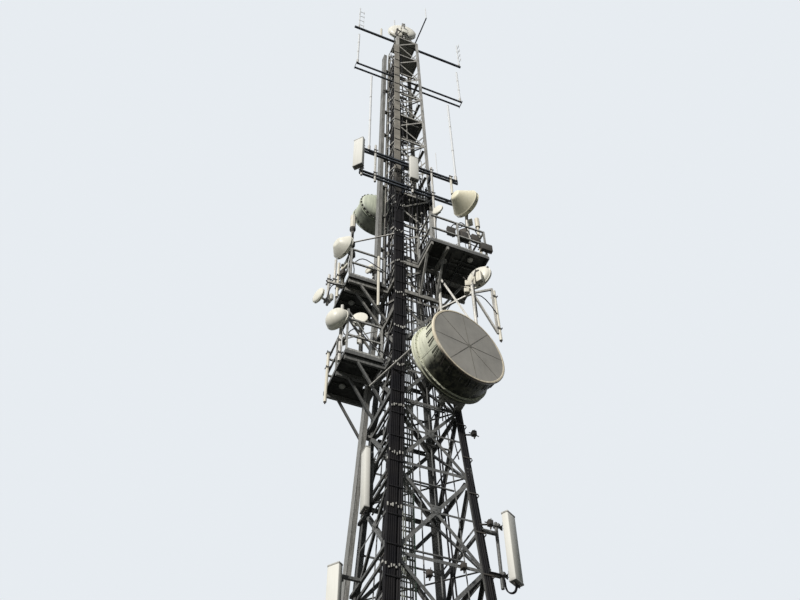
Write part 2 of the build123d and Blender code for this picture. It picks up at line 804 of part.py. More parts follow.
# an arm off the deck's outer side carries a standing pole and a hanging one with a dish
dish = {"radius": 205.0, "dome": 45.0, "depth": 50.0, "back": 40.0, "hub": 50.0}
arm_y = 300.0
arm_z = middle_deck["top"] - deck_frame_height / 2
hanging_x = -2040.0
arm_dish, pole = held_dish(
    (hanging_x, arm_y), arm_z - 760.0, (-0.94, -0.34), dish, arm_z - 900.0, arm_z + 270.0,
    radius=30.0, bracket=40.0, room=170.0,
)
pole.append(box(hanging_x - 45, -middle_deck["outer"], arm_y - 25, arm_y + 25, arm_z - 30, arm_z + 30))
pole.append(tube((hanging_x + 140, arm_y, arm_z), (hanging_x + 140, arm_y, arm_z + 970.0), 30.0))
dish_poles += fuse(pole)

# the dish at the masthead, facing the back, stands on the top plate
dish = {"radius": 550.0, "dome": 60.0, "depth": 100.0, "back": 130.0, "hub": 110.0}
mast_dish_z = top_plate + 1400.0
mast_pole_top = mast_dish_z + 150.0
body, pole = held_dish(
    (-100.0, -330.0), mast_dish_z, (0.2, 0.98), dish, top_plate, mast_pole_top, radius=45.0, bracket=120.0
)
save("mast_dish", [body])
dish_poles += pole
save("dish_poles", dish_poles)

# The frame below the right platform: a post clamped to the right leg, an outer post held off it by a
# level strut and a brace, a side bar past that, and a dish on a sloping bracket from the outer post
post_radius = 35.0
strut_size = 46.0
inner_low, inner_high = 17650.0, 19230.0
inner_place = (490.0, -half_width(inner_low) - beam_width - post_radius - 5.0)
post_place = (985.0, -1400.0)
post_low, post_top = 16480.0, 18180.0
level_strut_z = 17850.0
pieces = [
    tube((*inner_place, inner_low), (*inner_place, inner_high), post_radius),
    tube((*post_place, post_low), (*post_place, post_top), post_radius),
]
for z in (inner_low + 200.0, inner_high - 200.0):
    x, y = inner_place
    pieces.append(box(x - 50, x + 50, y, -half_width(z) + 40, z - 30, z + 30))
pieces.append(strut((*inner_place, level_strut_z), (*post_place, level_strut_z), strut_size, strut_size))
pieces.append(strut((*inner_place, inner_high - 120.0), (*post_place, post_low + 60.0), strut_size, strut_size))
side_end = 1515.0
side_top = level_strut_z + 400.0
side_low = post_low + 150.0
for z in (side_top - strut_size / 2, side_low + strut_size / 2):
    pieces.append(strut((*post_place, level_strut_z), (side_end, post_place[1], z), strut_size, strut_size))
half = strut_size / 2
x, y = side_end, post_place[1]
pieces.append(box(x - half, x + half, y - half, y + half, side_low, side_top))
dish = {"radius": 350.0, "dome": 40.0, "depth": 60.0, "back": 110.0, "hub": 80.0}
right_facing = (0.85, 0.53)
hub_place = (1222.0, -1255.0, 18850.0)
place = ahead(hub_place, right_facing, dish["depth"] + dish["back"])
save("right_dish", [ringed(place, right_facing, dish_profile(**dish), dish_sides)])
elbow = ahead(hub_place, right_facing, -60.0)
pieces.append(strut((*post_place, post_top - 30.0), elbow, 60.0, 60.0))
pieces.append(strut(ahead(elbow, right_facing, -30.0), hub_place, 110.0, 110.0))
save("outrigger", seated(fuse(pieces), "front"))

# The drum behind the left side, facing back, on a pole held from the back left leg
back_drum = {"radius": 620.0, "depth": 560.0, "lip": 28.0, "back": 170.0, "hub": 120.0}
back_drum_facing = (-0.11, 0.99)
back_pole_place = (-460.0, 673.0, shoulder_height + 5880.0)
back_pole_radius = 50.0
back_pole_reach = 750.0
arm_rise = 600.0
arm_size = 60.0
start = ahead(back_pole_place, back_drum_facing, back_pole_radius + bracket_room)
back_drum_place = ahead(start, back_drum_facing, back_drum["depth"] + back_drum["back"])
save("back_drum", [ringed(back_drum_place, back_drum_facing, drum_profile(**back_drum), dish_sides)])
x, y, z = back_pole_place
pieces = [tube((x, y, z - back_pole_reach), (x, y, z + back_pole_reach), back_pole_radius)]
pieces.append(strut(start, back_pole_place, 150.0, 150.0))
half = arm_size / 2
for level in (z - arm_rise, z + arm_rise):
    hw = half_width(level)
    pieces.append(box(x - half, x + half, hw - 60, y, level - half, level + half))
save("back_drum_pole", seated(fuse(pieces), "back"))


# Panel antennas: long flat boxes on poles
panel_gap = 50.0
pole_radius = 30.0


def held_panel(pole_at, pole, z, facing, width, depth, height):
    """A panel on a pole, and the pole with two brackets."""
    start = (pole_at[0], pole_at[1], z)
    back = ahead(start, facing, pole_radius + panel_gap)
    frame = Plane(origin=Vector(*back), x_dir=Vector(0, 0, 1), z_dir=Vector(facing[0], facing[1], 0))
    body = frame.location * box(-height / 2, height / 2, -width / 2, width / 2, 0, depth)
    for rise in (-height * 0.35, height * 0.35):
        pole = pole + [strut(ahead(start, facing, 0, rise), ahead(back, facing, 0, rise), 60.0, 50.0)]
    return body, fuse(pole)


front_pole_y = front_boom_y - boom_tube / 2 - seat_gap - pole_radius


low_z = front_booms["lower_boom"]["z"]
high_z = front_booms["middle_boom"]["z"]


def boom_pole(x, below, above):
    """A pole across both pairs of front booms, reaching below the lower and above the upper."""
    return [tube((x, front_pole_y, low_z - below), (x, front_pole_y, high_z + above), pole_radius)]


x = -1705.0
left_body, pole = held_panel(
    (x, front_pole_y), boom_pole(x, 250.0, 270.0), low_z + 700.0, (-0.97, -0.24), 300.0, 140.0, 1450.0
)
boom_poles = pole + boom_pole(-1310.0, 350.0, 370.0)
x = -200.0
centre_body, pole = held_panel(
    (x, front_pole_y), boom_pole(x, 250.0, 420.0), low_z + 800.0, (0.0, -1.0), 260.0, 120.0, 1200.0
)
boom_poles += pole
save("upper_panels", [left_body, centre_body])

# the small dish stands to the front of its pole, on a cranked bracket
dish = {"radius": 160.0, "dome": 20.0, "depth": 40.0, "back": 30.0, "hub": 40.0}
small_facing = (-0.85, -0.53)
x, z = 420.0, low_z - 1050.0
small_hub = (x + 40.0, front_pole_y - 190.0, z)
place = ahead(small_hub, small_facing, dish["depth"] + dish["back"])
small_dish = ringed(place, small_facing, dish_profile(**dish), dish_sides)
elbow = ahead(small_hub, small_facing, -45.0)
pole = boom_pole(x, 1600.0, 220.0)
pole.append(strut((x, front_pole_y, z), elbow, 40.0, 40.0))
pole.append(strut(ahead(elbow, small_facing, -20.0), small_hub, 50.0, 50.0))
pole = fuse(pole)
boom_poles += pole
save("small_dishes", [small_drum, small_dish, deck_dish, arm_dish])
save("boom_poles", boom_poles)


# Poles held off a side face by beams across its legs
def side_pole(face, z_low, z_high, along, reach, over):
    """Two beams across the left face's legs with arms to a pole; then turned to another face."""
    pieces = []
    for z in (z_low, z_high):
        z0, z1 = z - half, z + half
        outer = half_width(z0) + face_beam_depth
        end = half_width(z1) - beam_end_gap
        pieces.append(box(-outer, -half_width(z) + face_beam_depth, -end, end, z0, z1))
        if reach > outer:
            pieces.append(box(-reach, -outer + 20, along - half, along + half, z0, z1))
    pieces.append(tube((-reach, along, z_low - over), (-reach, along, z_high + over), pole_radius))
    turn = face_quarters[face] - face_quarters["left"]
    return turned(seated(fuse(pieces), "left"), turn)


face_beam_depth = 50.0
half = 30.0
low, high = waist_height - 380.0, waist_height + 550.0
reach = half_width(low - half) + face_beam_depth + pole_radius - 10
pole = side_pole("left", low, high, 30.0, reach, 250.0)
body, face_poles = held_panel((-reach, 30.0), pole, (low + high) / 2, (-1.0, 0.0), 270.0, 110.0, 1500.0)
lower_panels = [body]

reach = 1380.0
low, high = waist_height - 2950.0, waist_height - 1950.0
pole = side_pole("left", low, high, 350.0, reach, 200.0)
body, pole = held_panel((-reach, 350.0), pole, (low + high) / 2 - 100, (-0.8, -0.6), 260.0, 130.0, 1500.0)
lower_panels.append(body)
face_poles += pole

# the low right panel is held from the right face, near the front leg
reach = 1240.0
low, high = waist_height - 2050.0, waist_height - 1150.0
pole = side_pole("right", low, high, 820.0, reach, 250.0)
body, pole = held_panel((reach, -820.0), pole, (low + high) / 2 + 100, (0.5, -0.87), 270.0, 150.0, 1480.0)
lower_panels.append(body)
face_poles += pole
save("lower_panels", lower_panels)
save("face_poles", face_poles)

# Whip aerials, each standing on a boom
middle_top = front_booms["middle_boom"]["z"] + front_boom_gap / 2 + boom_tube / 2
upper_top = upper_boom_z + boom_tube / 2
upper_y = upper_boom_ys[0]
top_top = top_boom_z + top_boom_size / 2
standing = [
    (-1490.0, front_boom_y, middle_top, 4780.0, 31.0),
    (1230.0, front_boom_y, middle_top, 4700.0, 31.0),
    (-1820.0, upper_y, upper_top, 2430.0, 30.0),
    (2090.0, upper_y, upper_top, 2350.0, 30.0),
    (-1830.0, top_boom_y, top_top, 1900.0, 20.0),
    (2285.0, top_boom_y, top_top, 1930.0, 20.0),
    (-940.0, top_boom_y, top_top, 700.0, 28.0),
    (630.0, front_boom_y, middle_top, 1200.0, 12.0),
    (head_arm[0], head_arm[1] + 30.0, top_boom_z + 20.0, 950.0, 18.0),
]
whips = [tube((x, y, z), (x, y, z + length), r) for x, y, z, length, r in standing]
mast_whip_at = (-230.0, 250.0)
whips.append(tube((*mast_whip_at, top_plate), (*mast_whip_at, top_plate + 3200.0), 20.0))
save("whip_aerials", whips)

# Tube aerials, each against a boom, a deck's edge, a rail or the outrigger
omni_radius = 33.0
beside = omni_radius + seat_gap
rail_face = middle_deck["outer"] - rail_inset + rail_tube / 2
omnis = [
    (1030.0, front_boom_y - boom_tube / 2 - beside, 23000.0, 23950.0),
    (-900.0, middle_deck["front"] - beside, 17950.0, 19900.0),
    (-lower_deck["outer"] - beside, 900.0, 15400.0, 17000.0),
    (-rail_face - beside, 800.0, 19000.0, 20400.0),
    (-rail_face - beside, 480.0, 19000.0, 19950.0),
    (side_end + strut_size / 2 + beside, post_place[1], 16420.0, 18180.0),
    (right_outer - rail_inset - rail_tube / 2 - beside, -1250.0, right_top, right_top + 1500.0),
]
omnis = [tube((x, y, z0), (x, y, z1), omni_radius) for x, y, z0, z1 in omnis]
omnis.append(tube((*tall_pole_at, tall_pole_top), (*tall_pole_at, tall_pole_top + 620.0), 70.0))
x = right_outer - rail_inset - rail_tube / 2 - beside
omnis.append(tube((x, -1250.0, right_top + 1500.0), (x, -1250.0, right_top + 1880.0), 60.0))
save("omni_aerials", omnis)
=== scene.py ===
# %% [markdown]
# # Dressing a cell tower
# A steel lattice tower reaches us as a set of packed CAD nodes: legs, flat sides of bracing,
# platforms, booms, dishes and poles. Here it gets its finishes and its small hardware.
# Everything is in metres and in the frame of the CAD, so a piece goes where its node says it is.

# %% Load the frame
import json
import math
import random

import bmesh
import bpy
from mathutils import Matrix, Vector


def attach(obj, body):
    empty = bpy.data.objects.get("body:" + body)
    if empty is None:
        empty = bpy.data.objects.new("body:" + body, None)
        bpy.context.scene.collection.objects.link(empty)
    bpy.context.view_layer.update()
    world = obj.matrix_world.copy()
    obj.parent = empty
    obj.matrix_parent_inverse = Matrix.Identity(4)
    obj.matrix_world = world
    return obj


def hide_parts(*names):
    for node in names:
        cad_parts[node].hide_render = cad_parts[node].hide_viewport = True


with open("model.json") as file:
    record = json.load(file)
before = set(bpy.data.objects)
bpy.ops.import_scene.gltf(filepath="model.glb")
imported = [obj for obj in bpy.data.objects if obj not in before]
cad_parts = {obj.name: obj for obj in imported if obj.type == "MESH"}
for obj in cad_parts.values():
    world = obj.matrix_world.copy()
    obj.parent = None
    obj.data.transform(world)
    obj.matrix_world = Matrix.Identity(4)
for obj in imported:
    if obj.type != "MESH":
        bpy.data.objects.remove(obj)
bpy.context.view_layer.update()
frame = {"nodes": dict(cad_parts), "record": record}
node_objects = frame["nodes"]
UP = Vector((0, 0, 1))

# %% [markdown]
# ## The camera
# The photograph was taken from head height near the foot of the tower, looking steeply up. The
# lens and the pitch were fitted to the legs, which run together towards the top. Building the
# camera's matrix from three directions, and not from Euler angles, keeps the small roll readable.

# %% Camera
camera_place = Vector((-4.289, -11.373, 1.6))
camera_heading = math.radians(67.0)
camera_pitch = math.radians(50.75)
camera_roll = math.radians(-0.88)
focal_px = 890.0
frame_width_px = 800
sensor_mm = 36.0
far_clip = 400.0


def camera_axes():
    """Right, up and forward in the world."""
    level = Vector((math.cos(camera_heading), math.sin(camera_heading), 0))
    forward = level * math.cos(camera_pitch) + UP * math.sin(camera_pitch)
    right = level.cross(UP)
    down = forward.cross(right)
    turned_right = right * math.cos(camera_roll) - down * math.sin(camera_roll)
    turned_down = right * math.sin(camera_roll) + down * math.cos(camera_roll)
    return turned_right, -turned_down, forward


camera_data = bpy.data.cameras.new("view")
camera = bpy.data.objects.new("view", camera_data)
bpy.context.scene.collection.objects.link(camera)
right, up, forward = camera_axes()
camera_turn = Matrix((right, up, -forward)).transposed().to_4x4()
camera.matrix_world = Matrix.Translation(camera_place) @ camera_turn
camera_data.sensor_width = sensor_mm
camera_data.lens = sensor_mm * focal_px / frame_width_px
camera_data.clip_end = far_clip
bpy.context.scene.camera = camera
print("lens", round(camera_data.lens, 2), "mm")

# %% [markdown]
# ## Sunlight
# A tower is best lit as it stands outdoors, but softly: a wide sun from the upper left, as in the
# photograph, and a weaker one from behind on the right for the sides that the camera can't see.

# %% Suns
sun_from = Vector((-0.79, -0.62, 0.56))
fill_from = Vector((0.35, 0.95, 0.35))


def add_sun(name, source, *, strength, spread_degrees, color):
    lamp = bpy.data.lights.new(name, "SUN")
    lamp.energy = strength
    lamp.angle = math.radians(spread_degrees)
    lamp.color = color
    lamp_object = bpy.data.objects.new(name, lamp)
    lamp_object.rotation_euler = source.to_track_quat("Z", "Y").to_euler()
    bpy.context.scene.collection.objects.link(lamp_object)


add_sun("key", sun_from, strength=4.1, spread_degrees=5.0, color=(1.0, 0.975, 0.93))
add_sun("fill", fill_from, strength=0.7, spread_degrees=40.0, color=(0.93, 0.96, 1.0))
print("suns from", tuple(sun_from), "and", tuple(fill_from))

# %% [markdown]
# ## Sky
# The sky that the camera sees is a pale colour, chosen by Light Path, and a second, weaker one
# lights the steel, so the backdrop never washes it out. Mirrors see the pale sky too, and so would
# glass.

# %% Sky


def seen_directly(nodes, links):
    """1 for rays from the camera, a mirror or glass, and 0 for rays that carry light."""
    ray = nodes.new("ShaderNodeLightPath")
    first = nodes.new("ShaderNodeMath")
    second = nodes.new("ShaderNodeMath")
    for node in (first, second):
        node.operation = "ADD"
        node.use_clamp = True
    links.new(ray.outputs["Is Camera Ray"], first.inputs[0])
    links.new(ray.outputs["Is Glossy Ray"], first.inputs[1])
    links.new(first.outputs[0], second.inputs[0])
    links.new(ray.outputs["Is Transmission Ray"], second.inputs[1])
    return second.outputs[0]


def build_sky(seen, cast, strength):
    """The colour that the camera and mirrors see, and the light that falls on the tower."""
    world = bpy.data.worlds.new("sky")
    bpy.context.scene.world = world
    world.use_nodes = True
    nodes, links = world.node_tree.nodes, world.node_tree.links
    nodes.clear()
    output = nodes.new("ShaderNodeOutputWorld")
    choice = nodes.new("ShaderNodeMixShader")
    light = nodes.new("ShaderNodeBackground")
    light.inputs["Color"].default_value = (*cast, 1)
    light.inputs["Strength"].default_value = strength
    backdrop = nodes.new("ShaderNodeBackground")
    backdrop.inputs["Color"].default_value = (*seen, 1)
    backdrop.inputs["Strength"].default_value = 1.0
    links.new(seen_directly(nodes, links), choice.inputs["Fac"])
    links.new(light.outputs[0], choice.inputs[1])
    links.new(backdrop.outputs[0], choice.inputs[2])
    links.new(choice.outputs[0], output.inputs["Surface"])


build_sky(seen=(0.80, 0.84, 0.88), cast=(0.86, 0.92, 1.0), strength=0.10)
bpy.context.scene.view_settings.view_transform = "Standard"
print("sky", bpy.context.scene.world.name)

# %% [markdown]
# ## Ground
# The tower needs something to stand on and to throw its shadow on. A flat square is enough for
# both, as long as it is much wider than the tower is tall.

# %% Ground
ground_reach = 60.0
mesh = bpy.data.meshes.new("ground")
bm = bmesh.new()
bmesh.ops.create_grid(bm, x_segments=1, y_segments=1, size=ground_reach)
bm.to_mesh(mesh)
bm.free()
ground = bpy.data.objects.new("ground", mesh)
bpy.context.scene.collection.objects.link(ground)
print("ground", ground_reach * 2, "m across")

# %% [markdown]
# ## Shared effects
# Every finish on a tower has weathered in the same ways: rain draws dirt down it, dust settles on
# it, and its edges wear bright. Each effect is one shader node group, built once. A group gives
# masks only; the shader that uses them stays in the material. Written out in full, a node takes
# three or four lines, so a small class holds short calls for the kinds that come back often.

# %% Short calls for nodes


class NodeBook:
    """Short calls for adding and joining nodes in one tree."""

    def __init__(self, tree):
        self.nodes = tree.nodes
        self.links = tree.links

    def add(self, kind, **settings):
        node = self.nodes.new(kind)
        for name, value in settings.items():
            setattr(node, name, value)
        return node

    def join(self, source, target):
        self.links.new(source, target)

    def fill(self, socket, value):
        """Join a socket, or set a plain value."""
        if isinstance(value, bpy.types.NodeSocket):
            self.join(value, socket)
        else:
            socket.default_value = value

    def maths(self, operation, a, b=0.0, clamp=False):
        node = self.add("ShaderNodeMath", operation=operation, use_clamp=clamp)
        self.fill(node.inputs[0], a)
        self.fill(node.inputs[1], b)
        return node.outputs[0]

    def ramp(self, value, low, high, to_low=0.0, to_high=1.0):
        node = self.add("ShaderNodeMapRange")
        self.fill(node.inputs["Value"], value)
        self.fill(node.inputs["From Min"], low)
        self.fill(node.inputs["From Max"], high)
        self.fill(node.inputs["To Min"], to_low)
        self.fill(node.inputs["To Max"], to_high)
        return node.outputs["Result"]

    def blend(self, factor, a, b, way="MIX"):
        """Mix two colours."""
        node = self.add("ShaderNodeMix", data_type="RGBA", blend_type=way)
        self.fill(node.inputs["Factor"], factor)
        self.fill(node.inputs[6], a)
        self.fill(node.inputs[7], b)
        return node.outputs[2]

    def noise(self, vector, scale, detail=3.0, roughness=0.55):
        node = self.add("ShaderNodeTexNoise")
        self.fill(node.inputs["Vector"], vector)
        self.fill(node.inputs["Scale"], scale)
        node.inputs["Detail"].default_value = detail
        node.inputs["Roughness"].default_value = roughness
        return node.outputs["Fac"]

    def stretched(self, vector, x, y, z):
        node = self.add("ShaderNodeMapping")
        self.join(vector, node.inputs["Vector"])
        node.inputs["Scale"].default_value = (x, y, z)
        return node.outputs["Vector"]

    def dot(self, a, b):
        node = self.add("ShaderNodeVectorMath", operation="DOT_PRODUCT")
        self.join(a, node.inputs[0])
        self.fill(node.inputs[1], b)
        return node.outputs["Value"]

    def height_of(self, vector):
        node = self.add("ShaderNodeSeparateXYZ")
        self.join(vector, node.inputs[0])
        return node.outputs["Z"]

    def position(self):
        return self.add("ShaderNodeTexCoord").outputs["Object"]

    def normal(self):
        return self.add("ShaderNodeNewGeometry").outputs["Normal"]


print("short calls", [name for name in vars(NodeBook) if not name.startswith("_")])

# %% [markdown]
# A group is a small tree with named sockets of its own. All of these groups take a few sizes and
# give masks, so one function makes the empty tree with plain number sockets on both sides.

# %% Empty group


def new_group(name, inputs, outputs):
    """A node group with float inputs (name: default) and float outputs."""
    tree = bpy.data.node_groups.new(name, "ShaderNodeTree")
    for label, default in inputs.items():
        socket = tree.interface.new_socket(name=label, in_out="INPUT", socket_type="NodeSocketFloat")
        socket.default_value = default
    for label in outputs:
        tree.interface.new_socket(name=label, in_out="OUTPUT", socket_type="NodeSocketFloat")
    book = NodeBook(tree)
    return tree, book, book.add("NodeGroupInput"), book.add("NodeGroupOutput")


print("groups so far", len(bpy.data.node_groups))

# %% [markdown]
# Rain leaves streaks that are long and thin, so their noise is squeezed to a few hundredths along
# the height. Cloudy dirt and fine grain are plain noise, one coarse and one fine.

# %% Weathering group
streak_squeeze = 0.06


def weathering_group():
    """Streaks drawn down by rain, cloudy dirt, and fine grain, as masks from 0 to 1."""
    sizes = {"Streak Width": 30.0, "Cloud Size": 2.5, "Grain Size": 90.0}
    tree, book, given, result = new_group("weathering", sizes, ("Streak", "Cloud", "Grain"))
    place = book.position()
    squeezed = book.stretched(place, 1, 1, streak_squeeze)
    drawn = book.noise(squeezed, given.outputs["Streak Width"], 4.0, 0.6)
    book.join(book.ramp(drawn, 0.42, 0.68), result.inputs["Streak"])
    cloud = book.noise(place, given.outputs["Cloud Size"], 5.0, 0.6)
    book.join(book.ramp(cloud, 0.35, 0.65), result.inputs["Cloud"])
    grain = book.noise(place, given.outputs["Grain Size"], 2.0, 0.5)
    book.join(book.ramp(grain, 0.3, 0.7), result.inputs["Grain"])
    return tree


weathering = weathering_group()
print("group", weathering.name)

# %% [markdown]
# Edge wear needs to know where an edge is. The Bevel node gives a normal rounded over a small
# radius; where it leans away from the true normal, there is an edge. It works on any mesh, also on
# CAD triangles, which a vertex-based pointiness doesn't.

# %% Edge wear group


def edge_wear_group():
    tree, book, given, result = new_group("edge_wear", {"Radius": 0.006, "Breakup": 60.0}, ("Edge",))
    bevel = book.add("ShaderNodeBevel", samples=4)
    book.join(given.outputs["Radius"], bevel.inputs["Radius"])
    lean = book.dot(bevel.outputs["Normal"], book.normal())
    edge = book.ramp(lean, 0.98, 0.8)
    broken = book.ramp(book.noise(book.position(), given.outputs["Breakup"], 2.0), 0.4, 0.6)
    book.join(book.maths("MULTIPLY", edge, broken, clamp=True), result.inputs["Edge"])
    return tree


edge_wear = edge_wear_group()
print("group", edge_wear.name)

# %% [markdown]
# Galvanised steel shows crystals of zinc, the spangle. Voronoi cells with a random grey for each
# cell look right at arm's length, and from far away they only liven the grey.

# %% Spangle group


def spangle_group():
    tree, book, given, result = new_group("spangle", {"Crystal Size": 45.0}, ("Shade", "Height"))
    cells = book.add("ShaderNodeTexVoronoi")
    book.join(book.position(), cells.inputs["Vector"])
    book.join(given.outputs["Crystal Size"], cells.inputs["Scale"])
    parts = book.add("ShaderNodeSeparateColor")
    book.join(cells.outputs["Color"], parts.inputs[0])
    book.join(parts.outputs[0], result.inputs["Shade"])
    book.join(book.ramp(cells.outputs["Distance"], 0.0, 0.6), result.inputs["Height"])
    return tree


spangle = spangle_group()
print("group", spangle.name)

# %% [markdown]
# Where a surface faces down, it is darkened: painted shade under things, with some soot and algae
# that rain never washes off. The normal's height tells how far it faces down, and a coarse noise
# breaks the darkening into patches.

# %% Underside group


def underside_group():
    tree, book, given, result = new_group("underside", {"Patch Size": 3.0}, ("Grime And Shade",))
    # Painted shade with some grime: the further a face points down, the darker it is painted.
    down = book.ramp(book.height_of(book.normal()), -0.05, -0.55)
    patchy = book.noise(book.position(), given.outputs["Patch Size"], 5.0, 0.65)
    patches = book.ramp(patchy, 0.25, 0.6, 0.55, 1.0)
    book.join(book.maths("MULTIPLY", down, patches, clamp=True), result.inputs["Grime And Shade"])
    return tree


underside = underside_group()
print("group", underside.name)

# %% [markdown]
# ## Finishes
# One function lays a weathered finish: a base colour, a second colour for cloudy patches, dirt in
# the streaks, dust or lichen, bright or rusty edges, and painted shade with some grime on faces that
# point down. Each real finish is a call with its own values, so a change to the weather reaches them
# all, and none of them is a flat colour.

# %% Weathered finish
# Near black: painted shade under things and on the drum's shaded side, and algae.
shade_and_algae_black = (0.009, 0.010, 0.009)
relief_depth = 0.002
zinc_relief = 0.4


def group_node(book, tree, **values):
    node = book.add("ShaderNodeGroup", node_tree=tree)
    for label, value in values.items():
        node.inputs[label.replace("_", " ")].default_value = value
    return node


def rgba(color):
    return (*color, 1.0)


def weathered(name, base, patch, dirt, edge, *, dirt_amount=0.5, edge_amount=0.6, metallic=0.0,
              rough=(0.45, 0.7), crystals=0.0, bump=0.15, streak_width=30.0, cloud_size=2.5,
              grain_size=90.0, edge_radius=0.006, grime=0.8, gloss=0.3, pattern=None):
    """pattern(book, color) may draw more on the colour; it gives the new colour and a height."""
    material = bpy.data.materials.new(name)
    material.use_nodes = True
    book = NodeBook(material.node_tree)
    shader = book.nodes["Principled BSDF"]
    sizes = {"Streak_Width": streak_width, "Cloud_Size": cloud_size, "Grain_Size": grain_size}
    weather = group_node(book, weathering, **sizes)
    wear = group_node(book, edge_wear, Radius=edge_radius)
    below = group_node(book, underside)
    color = book.blend(weather.outputs["Cloud"], rgba(base), rgba(patch))
    height = weather.outputs["Grain"]
    if crystals:
        zinc = group_node(book, spangle)
        shade = book.ramp(zinc.outputs["Shade"], 0.0, 1.0, 0.5 - crystals / 2, 0.5 + crystals / 2)
        light = book.blend(shade, rgba((0, 0, 0)), rgba((1, 1, 1)))
        color = book.blend(1.0, color, light, way="OVERLAY")
        height = book.maths("ADD", height, book.maths("MULTIPLY", zinc.outputs["Height"], zinc_relief))
    if pattern:
        color, relief = pattern(book, color)
        height = book.maths("ADD", height, relief)
    # Dirt in the streaks, worn edges, and painted shade with some grime on faces that point down.
    for mask, amount, layer in (
        (weather.outputs["Streak"], dirt_amount, dirt),
        (wear.outputs["Edge"], edge_amount, edge),
        (below.outputs["Grime And Shade"], grime, shade_and_algae_black),
    ):
        color = book.blend(book.maths("MULTIPLY", mask, amount), color, rgba(layer))
    book.join(color, shader.inputs["Base Color"])
    book.join(book.ramp(weather.outputs["Grain"], 0, 1, *rough), shader.inputs["Roughness"])
    shader.inputs["Metallic"].default_value = metallic
    shader.inputs["Specular IOR Level"].default_value = gloss
    relief_node = book.add("ShaderNodeBump")
    relief_node.inputs["Strength"].default_value = bump
    relief_node.inputs["Distance"].default_value = relief_depth
    book.join(height, relief_node.inputs["Height"])
    book.join(relief_node.outputs["Normal"], shader.inputs["Normal"])
    return material


print("algae", shade_and_algae_black, "relief", relief_depth * 1000, "mm deep")

# %% [markdown]
# The finishes are kept by name. Some belong to hardware that only this script adds; each of these
# names a slot of the record in its call.

# %% Book of finishes
finishes = {}


def finish(name, *colors, slot=None, **values):
    """Lay a finish: base, patch, dirt and edge colour, and the values of its weather."""
    finishes[name] = weathered(name, *colors, **values)
    print("finish", name)


# %% [markdown]
# The upper lengths of the tower are painted paler than the lower ones: painted light above and
# painted shade below. A blend with height does this on one material, and a little noise keeps its
# edge from being a line.

# %% Painted light with height


def painted_light_above(low, high, pale):
    """Blend to a paler zinc between two heights: painted light above, painted shade below."""

    def pattern(book, color):
        place = book.position()
        uneven = book.ramp(book.noise(place, 0.8), 0.0, 1.0, -2.0, 2.0)
        ragged = book.maths("ADD", book.height_of(place), uneven)
        shade = book.ramp(book.noise(place, 3.0, 4.0), 0.3, 0.7, 0.55, 1.0)
        rise = book.maths("MULTIPLY", book.ramp(ragged, low, high), shade)
        return book.blend(rise, color, rgba(pale)), book.maths("MULTIPLY", shade, 0.2)

    return pattern


print("a finish may be paler above a height")

# %% [markdown]
# The low right side of the big drum is almost black in the photograph. It is painted here as
# painted shade on the side that faces away from the sun, with a few specks of algae. The mask is
# how far the surface faces that way, with a ragged edge and the specks.

# %% Painted shade on the drum
in_shade_side = (0.50, 0.12, -0.86)


# Painted shade: surfaces that face the shaded side go near black, with a few algae specks.
def painted_shade_and_algae(book, color):
    ragged = book.ramp(book.noise(book.position(), 2.2, 5.0, 0.65), 0.0, 1.0, -0.16, 0.16)
    facing = book.maths("ADD", book.dot(book.normal(), in_shade_side), ragged)
    in_shade = book.ramp(facing, 0.02, 0.20, 0.0, 0.99)
    specks = book.ramp(book.noise(book.position(), 26.0, 2.0), 0.66, 0.72, 0.0, 0.7)
    return book.blend(book.maths("MAXIMUM", in_shade, specks), color, rgba(shade_and_algae_black)), specks


print("damp side", in_shade_side)

# %% [markdown]
# ### Steel
# Structural steel is dull zinc, dark low down as painted shade and paler above as painted light.
# Rails and poles are thinner, younger stock and paler, the decks are dark plate, and the booms are
# painted dark.

# %% Steel finishes
soot = (0.075, 0.075, 0.072)

finish("galvanised_steel", (0.098, 0.102, 0.102), (0.16, 0.16, 0.156), soot, (0.46, 0.46, 0.43),
       dirt_amount=0.75, edge_amount=0.5, metallic=0.1, crystals=0.4, rough=(0.5, 0.75),
       pattern=painted_light_above(15.0, 23.0, (0.52, 0.50, 0.45)))
finish("rail_steel", (0.33, 0.33, 0.315), (0.44, 0.435, 0.41), soot, (0.64, 0.63, 0.60),
       dirt_amount=0.7, edge_amount=0.5, metallic=0.1, crystals=0.35, rough=(0.5, 0.75))
finish("pole_steel", (0.52, 0.51, 0.48), (0.64, 0.62, 0.58), (0.15, 0.14, 0.12), (0.76, 0.74, 0.70),
       dirt_amount=0.5, metallic=0.1, crystals=0.3, rough=(0.45, 0.65))
# The decks' undersides take almost the full painted shade, with some grime.
finish("deck_plate", (0.12, 0.123, 0.123), (0.18, 0.18, 0.175), soot, (0.42, 0.42, 0.40),
       dirt_amount=0.6, metallic=0.1, rough=(0.6, 0.85), grime=0.95, gloss=0.15)
finish("dark_boom_steel", (0.028, 0.036, 0.050), (0.048, 0.056, 0.070), (0.018, 0.018, 0.02),
       (0.22, 0.22, 0.23), dirt_amount=0.6, edge_amount=0.45, rough=(0.45, 0.7), gloss=0.2)
finish("tray_steel", (0.22, 0.22, 0.205), (0.29, 0.285, 0.27), (0.10, 0.095, 0.085),
       (0.55, 0.54, 0.52), dirt_amount=0.75, edge_amount=0.8, metallic=0.2, crystals=0.2,
       rough=(0.45, 0.7), edge_radius=0.01)
finish("box_paint", (0.22, 0.23, 0.225), (0.29, 0.30, 0.29), soot, (0.48, 0.48, 0.46), rough=(0.4, 0.6))
